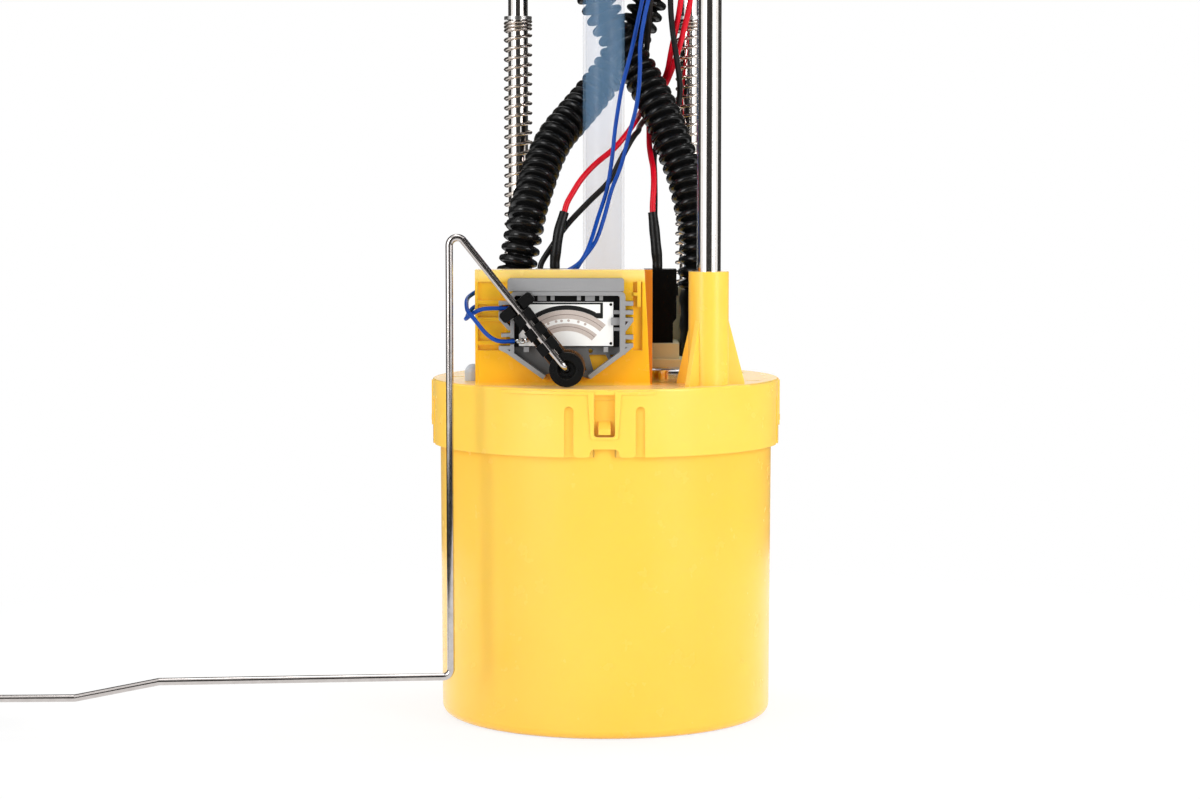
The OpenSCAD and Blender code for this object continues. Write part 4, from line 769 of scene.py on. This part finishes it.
track_ink = Finish("track_ink", (0.52, 0.44, 0.4), 0.4)
radius, across, up = from_pivot(track_ink)
rubbed = between(radius, 17.7, 17.95) + between(radius, 13.7, 13.95)
speckle = track_ink.mix(track_ink.noise(2500, 3), (0.6, 0.52, 0.475), (0.44, 0.37, 0.33))
track_ink.colour(track_ink.mix(rubbed * 0.8, speckle, (0.2, 0.16, 0.14)))
dress(track_ink, "resistor_tracks")

solder = Finish("tinned_terminals", (0.7, 0.7, 0.69), 0.18, Metallic=1.0)
solder.rough(0.2, 0.1, solder.noise(1200, 4))
solder.relief(solder.noise(1500, 4), 0.00008)
strand_radius, strand_sides = 0.14 * MM, 8
for side, height in (("lower", 131.6), ("upper", 142.4)):
    joint = bmesh.new()
    for across, drop, size in ((-27.6, 0, 1.15), (-26.3, 0.3, 0.9), (-29.0, -0.2, 0.8)):
        bead = bmesh.ops.create_icosphere(joint, subdivisions=3, radius=size * MM)["verts"]
        seat = Matrix.Translation((across * MM, -45.9 * MM, (height + drop) * MM))
        bmesh.ops.transform(joint, matrix=seat @ Matrix.Diagonal((1, 0.55, 0.9, 1)), verts=bead)
    blob = finished(joint, "solder_joint_" + side, solder)
    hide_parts("card_terminals")
    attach(blob, "reservoir")
    for i, (lift, sway) in enumerate(((0.25, 0.5), (-0.2, -0.35), (0.05, 0.1))):
        strand = eased(route((-30.4, -46, height), (-29, -46.5 - lift, height + sway),
                             (-27.4, -46.3, height + lift), (-26, -45.9, height - sway)), 4)
        wisp = finished(drawn(strand, [strand_radius] * len(strand), strand_sides),
                        f"strand_{side}_{i}", solder)
        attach(wisp, "reservoir")


# --- Float arm ---
# One length of drawn stainless wire, bent over the tower, down beside the bucket and out to the
# float, with round bends left by the bending pins.
arm_wire = Finish("arm_wire", (0.8, 0.77, 0.75), 0.14, Metallic=1.0)
drawing_lines = arm_wire.noise(450, 3)
arm_wire.colour(arm_wire.mix(drawing_lines, (0.7, 0.66, 0.64), (0.5, 0.46, 0.44)))
arm_wire.rough(0.11, 0.04, drawing_lines)


def bent(points, bend):
    """The wire's line, with an arc of that radius at each corner."""
    line = [points[0]]
    for before, corner, after in zip(points, points[1:], points[2:]):
        back, on = (before - corner).normalized(), (after - corner).normalized()
        half = back.angle(on) / 2
        middle = corner + (back + on).normalized() * (bend / math.sin(half))
        spoke = corner + back * (bend / math.tan(half)) - middle
        axis = back.cross(on)
        turn = math.pi - 2 * half
        steps = max(3, math.ceil(turn / 0.12))
        for step in range(steps + 1):
            line.append(middle + Matrix.Rotation(-turn * step / steps, 3, axis) @ spoke)
    return line + [points[-1]]


arm_radius, arm_bend, arm_sides = 1.23 * MM, 2.6 * MM, 20
arm_line = bent(route(
    (-13, -42.4, 122.5), (-13, -53, 122.5), (-40.5, -53, 157.1), (-51.3, -53, 170.7),
    (-51.3, -53, 20.7), (-148, -53, 19), (-176, -53, 13.5), (-222, -53, 13.2),
    (-222, -8.5, 13.2)), arm_bend)
arm = finished(drawn(arm_line, [arm_radius] * len(arm_line), arm_sides, seed=(1, 0, 0)),
               "bent_arm_wire", arm_wire)
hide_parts("float_arm")
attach(arm, "float_arm")


# --- Arm holder and wiper ---
# A black acetal hub and stem, whose three pairs of clips snap over the wire's edges, with a copper
# wiper sheet behind it that rides on the card's arcs.
holder_plastic = Finish(
    "holder_plastic", (0.005, 0.005, 0.005), 0.28, **{"Specular IOR Level": 0.25})
holder_plastic.rough(0.3, 0.12, holder_plastic.noise(400, 3))
holder_plastic.relief(holder_plastic.noise(1600, 3), 0.00004, edge=0.00025)
dress(holder_plastic, "arm_holder")

wiper_copper = Finish("wiper_copper", (0.83, 0.42, 0.2), 0.26, Metallic=1.0)
tarnish = wiper_copper.noise(300, 4)
wiper_copper.colour(wiper_copper.mix(tarnish, (0.86, 0.46, 0.23), (0.6, 0.27, 0.12)))
wiper_copper.rough(0.27, 0.1, tarnish)
dress(wiper_copper, "wiper_plate")


# --- Float ---
# A cylinder of closed-cell black nitrile foam, free to turn on the wire's end between two clips.
float_foam = Finish("float_foam", (0.03, 0.03, 0.03), 0.7)
cells = float_foam.add("ShaderNodeTexVoronoi", None, {"Vector": float_foam.place, "Scale": 1500.0})
float_foam.colour(float_foam.mix(cells, (0.022, 0.022, 0.022), (0.05, 0.05, 0.05)))
float_foam.relief(cells, 0.00012)
dress(float_foam, "float")
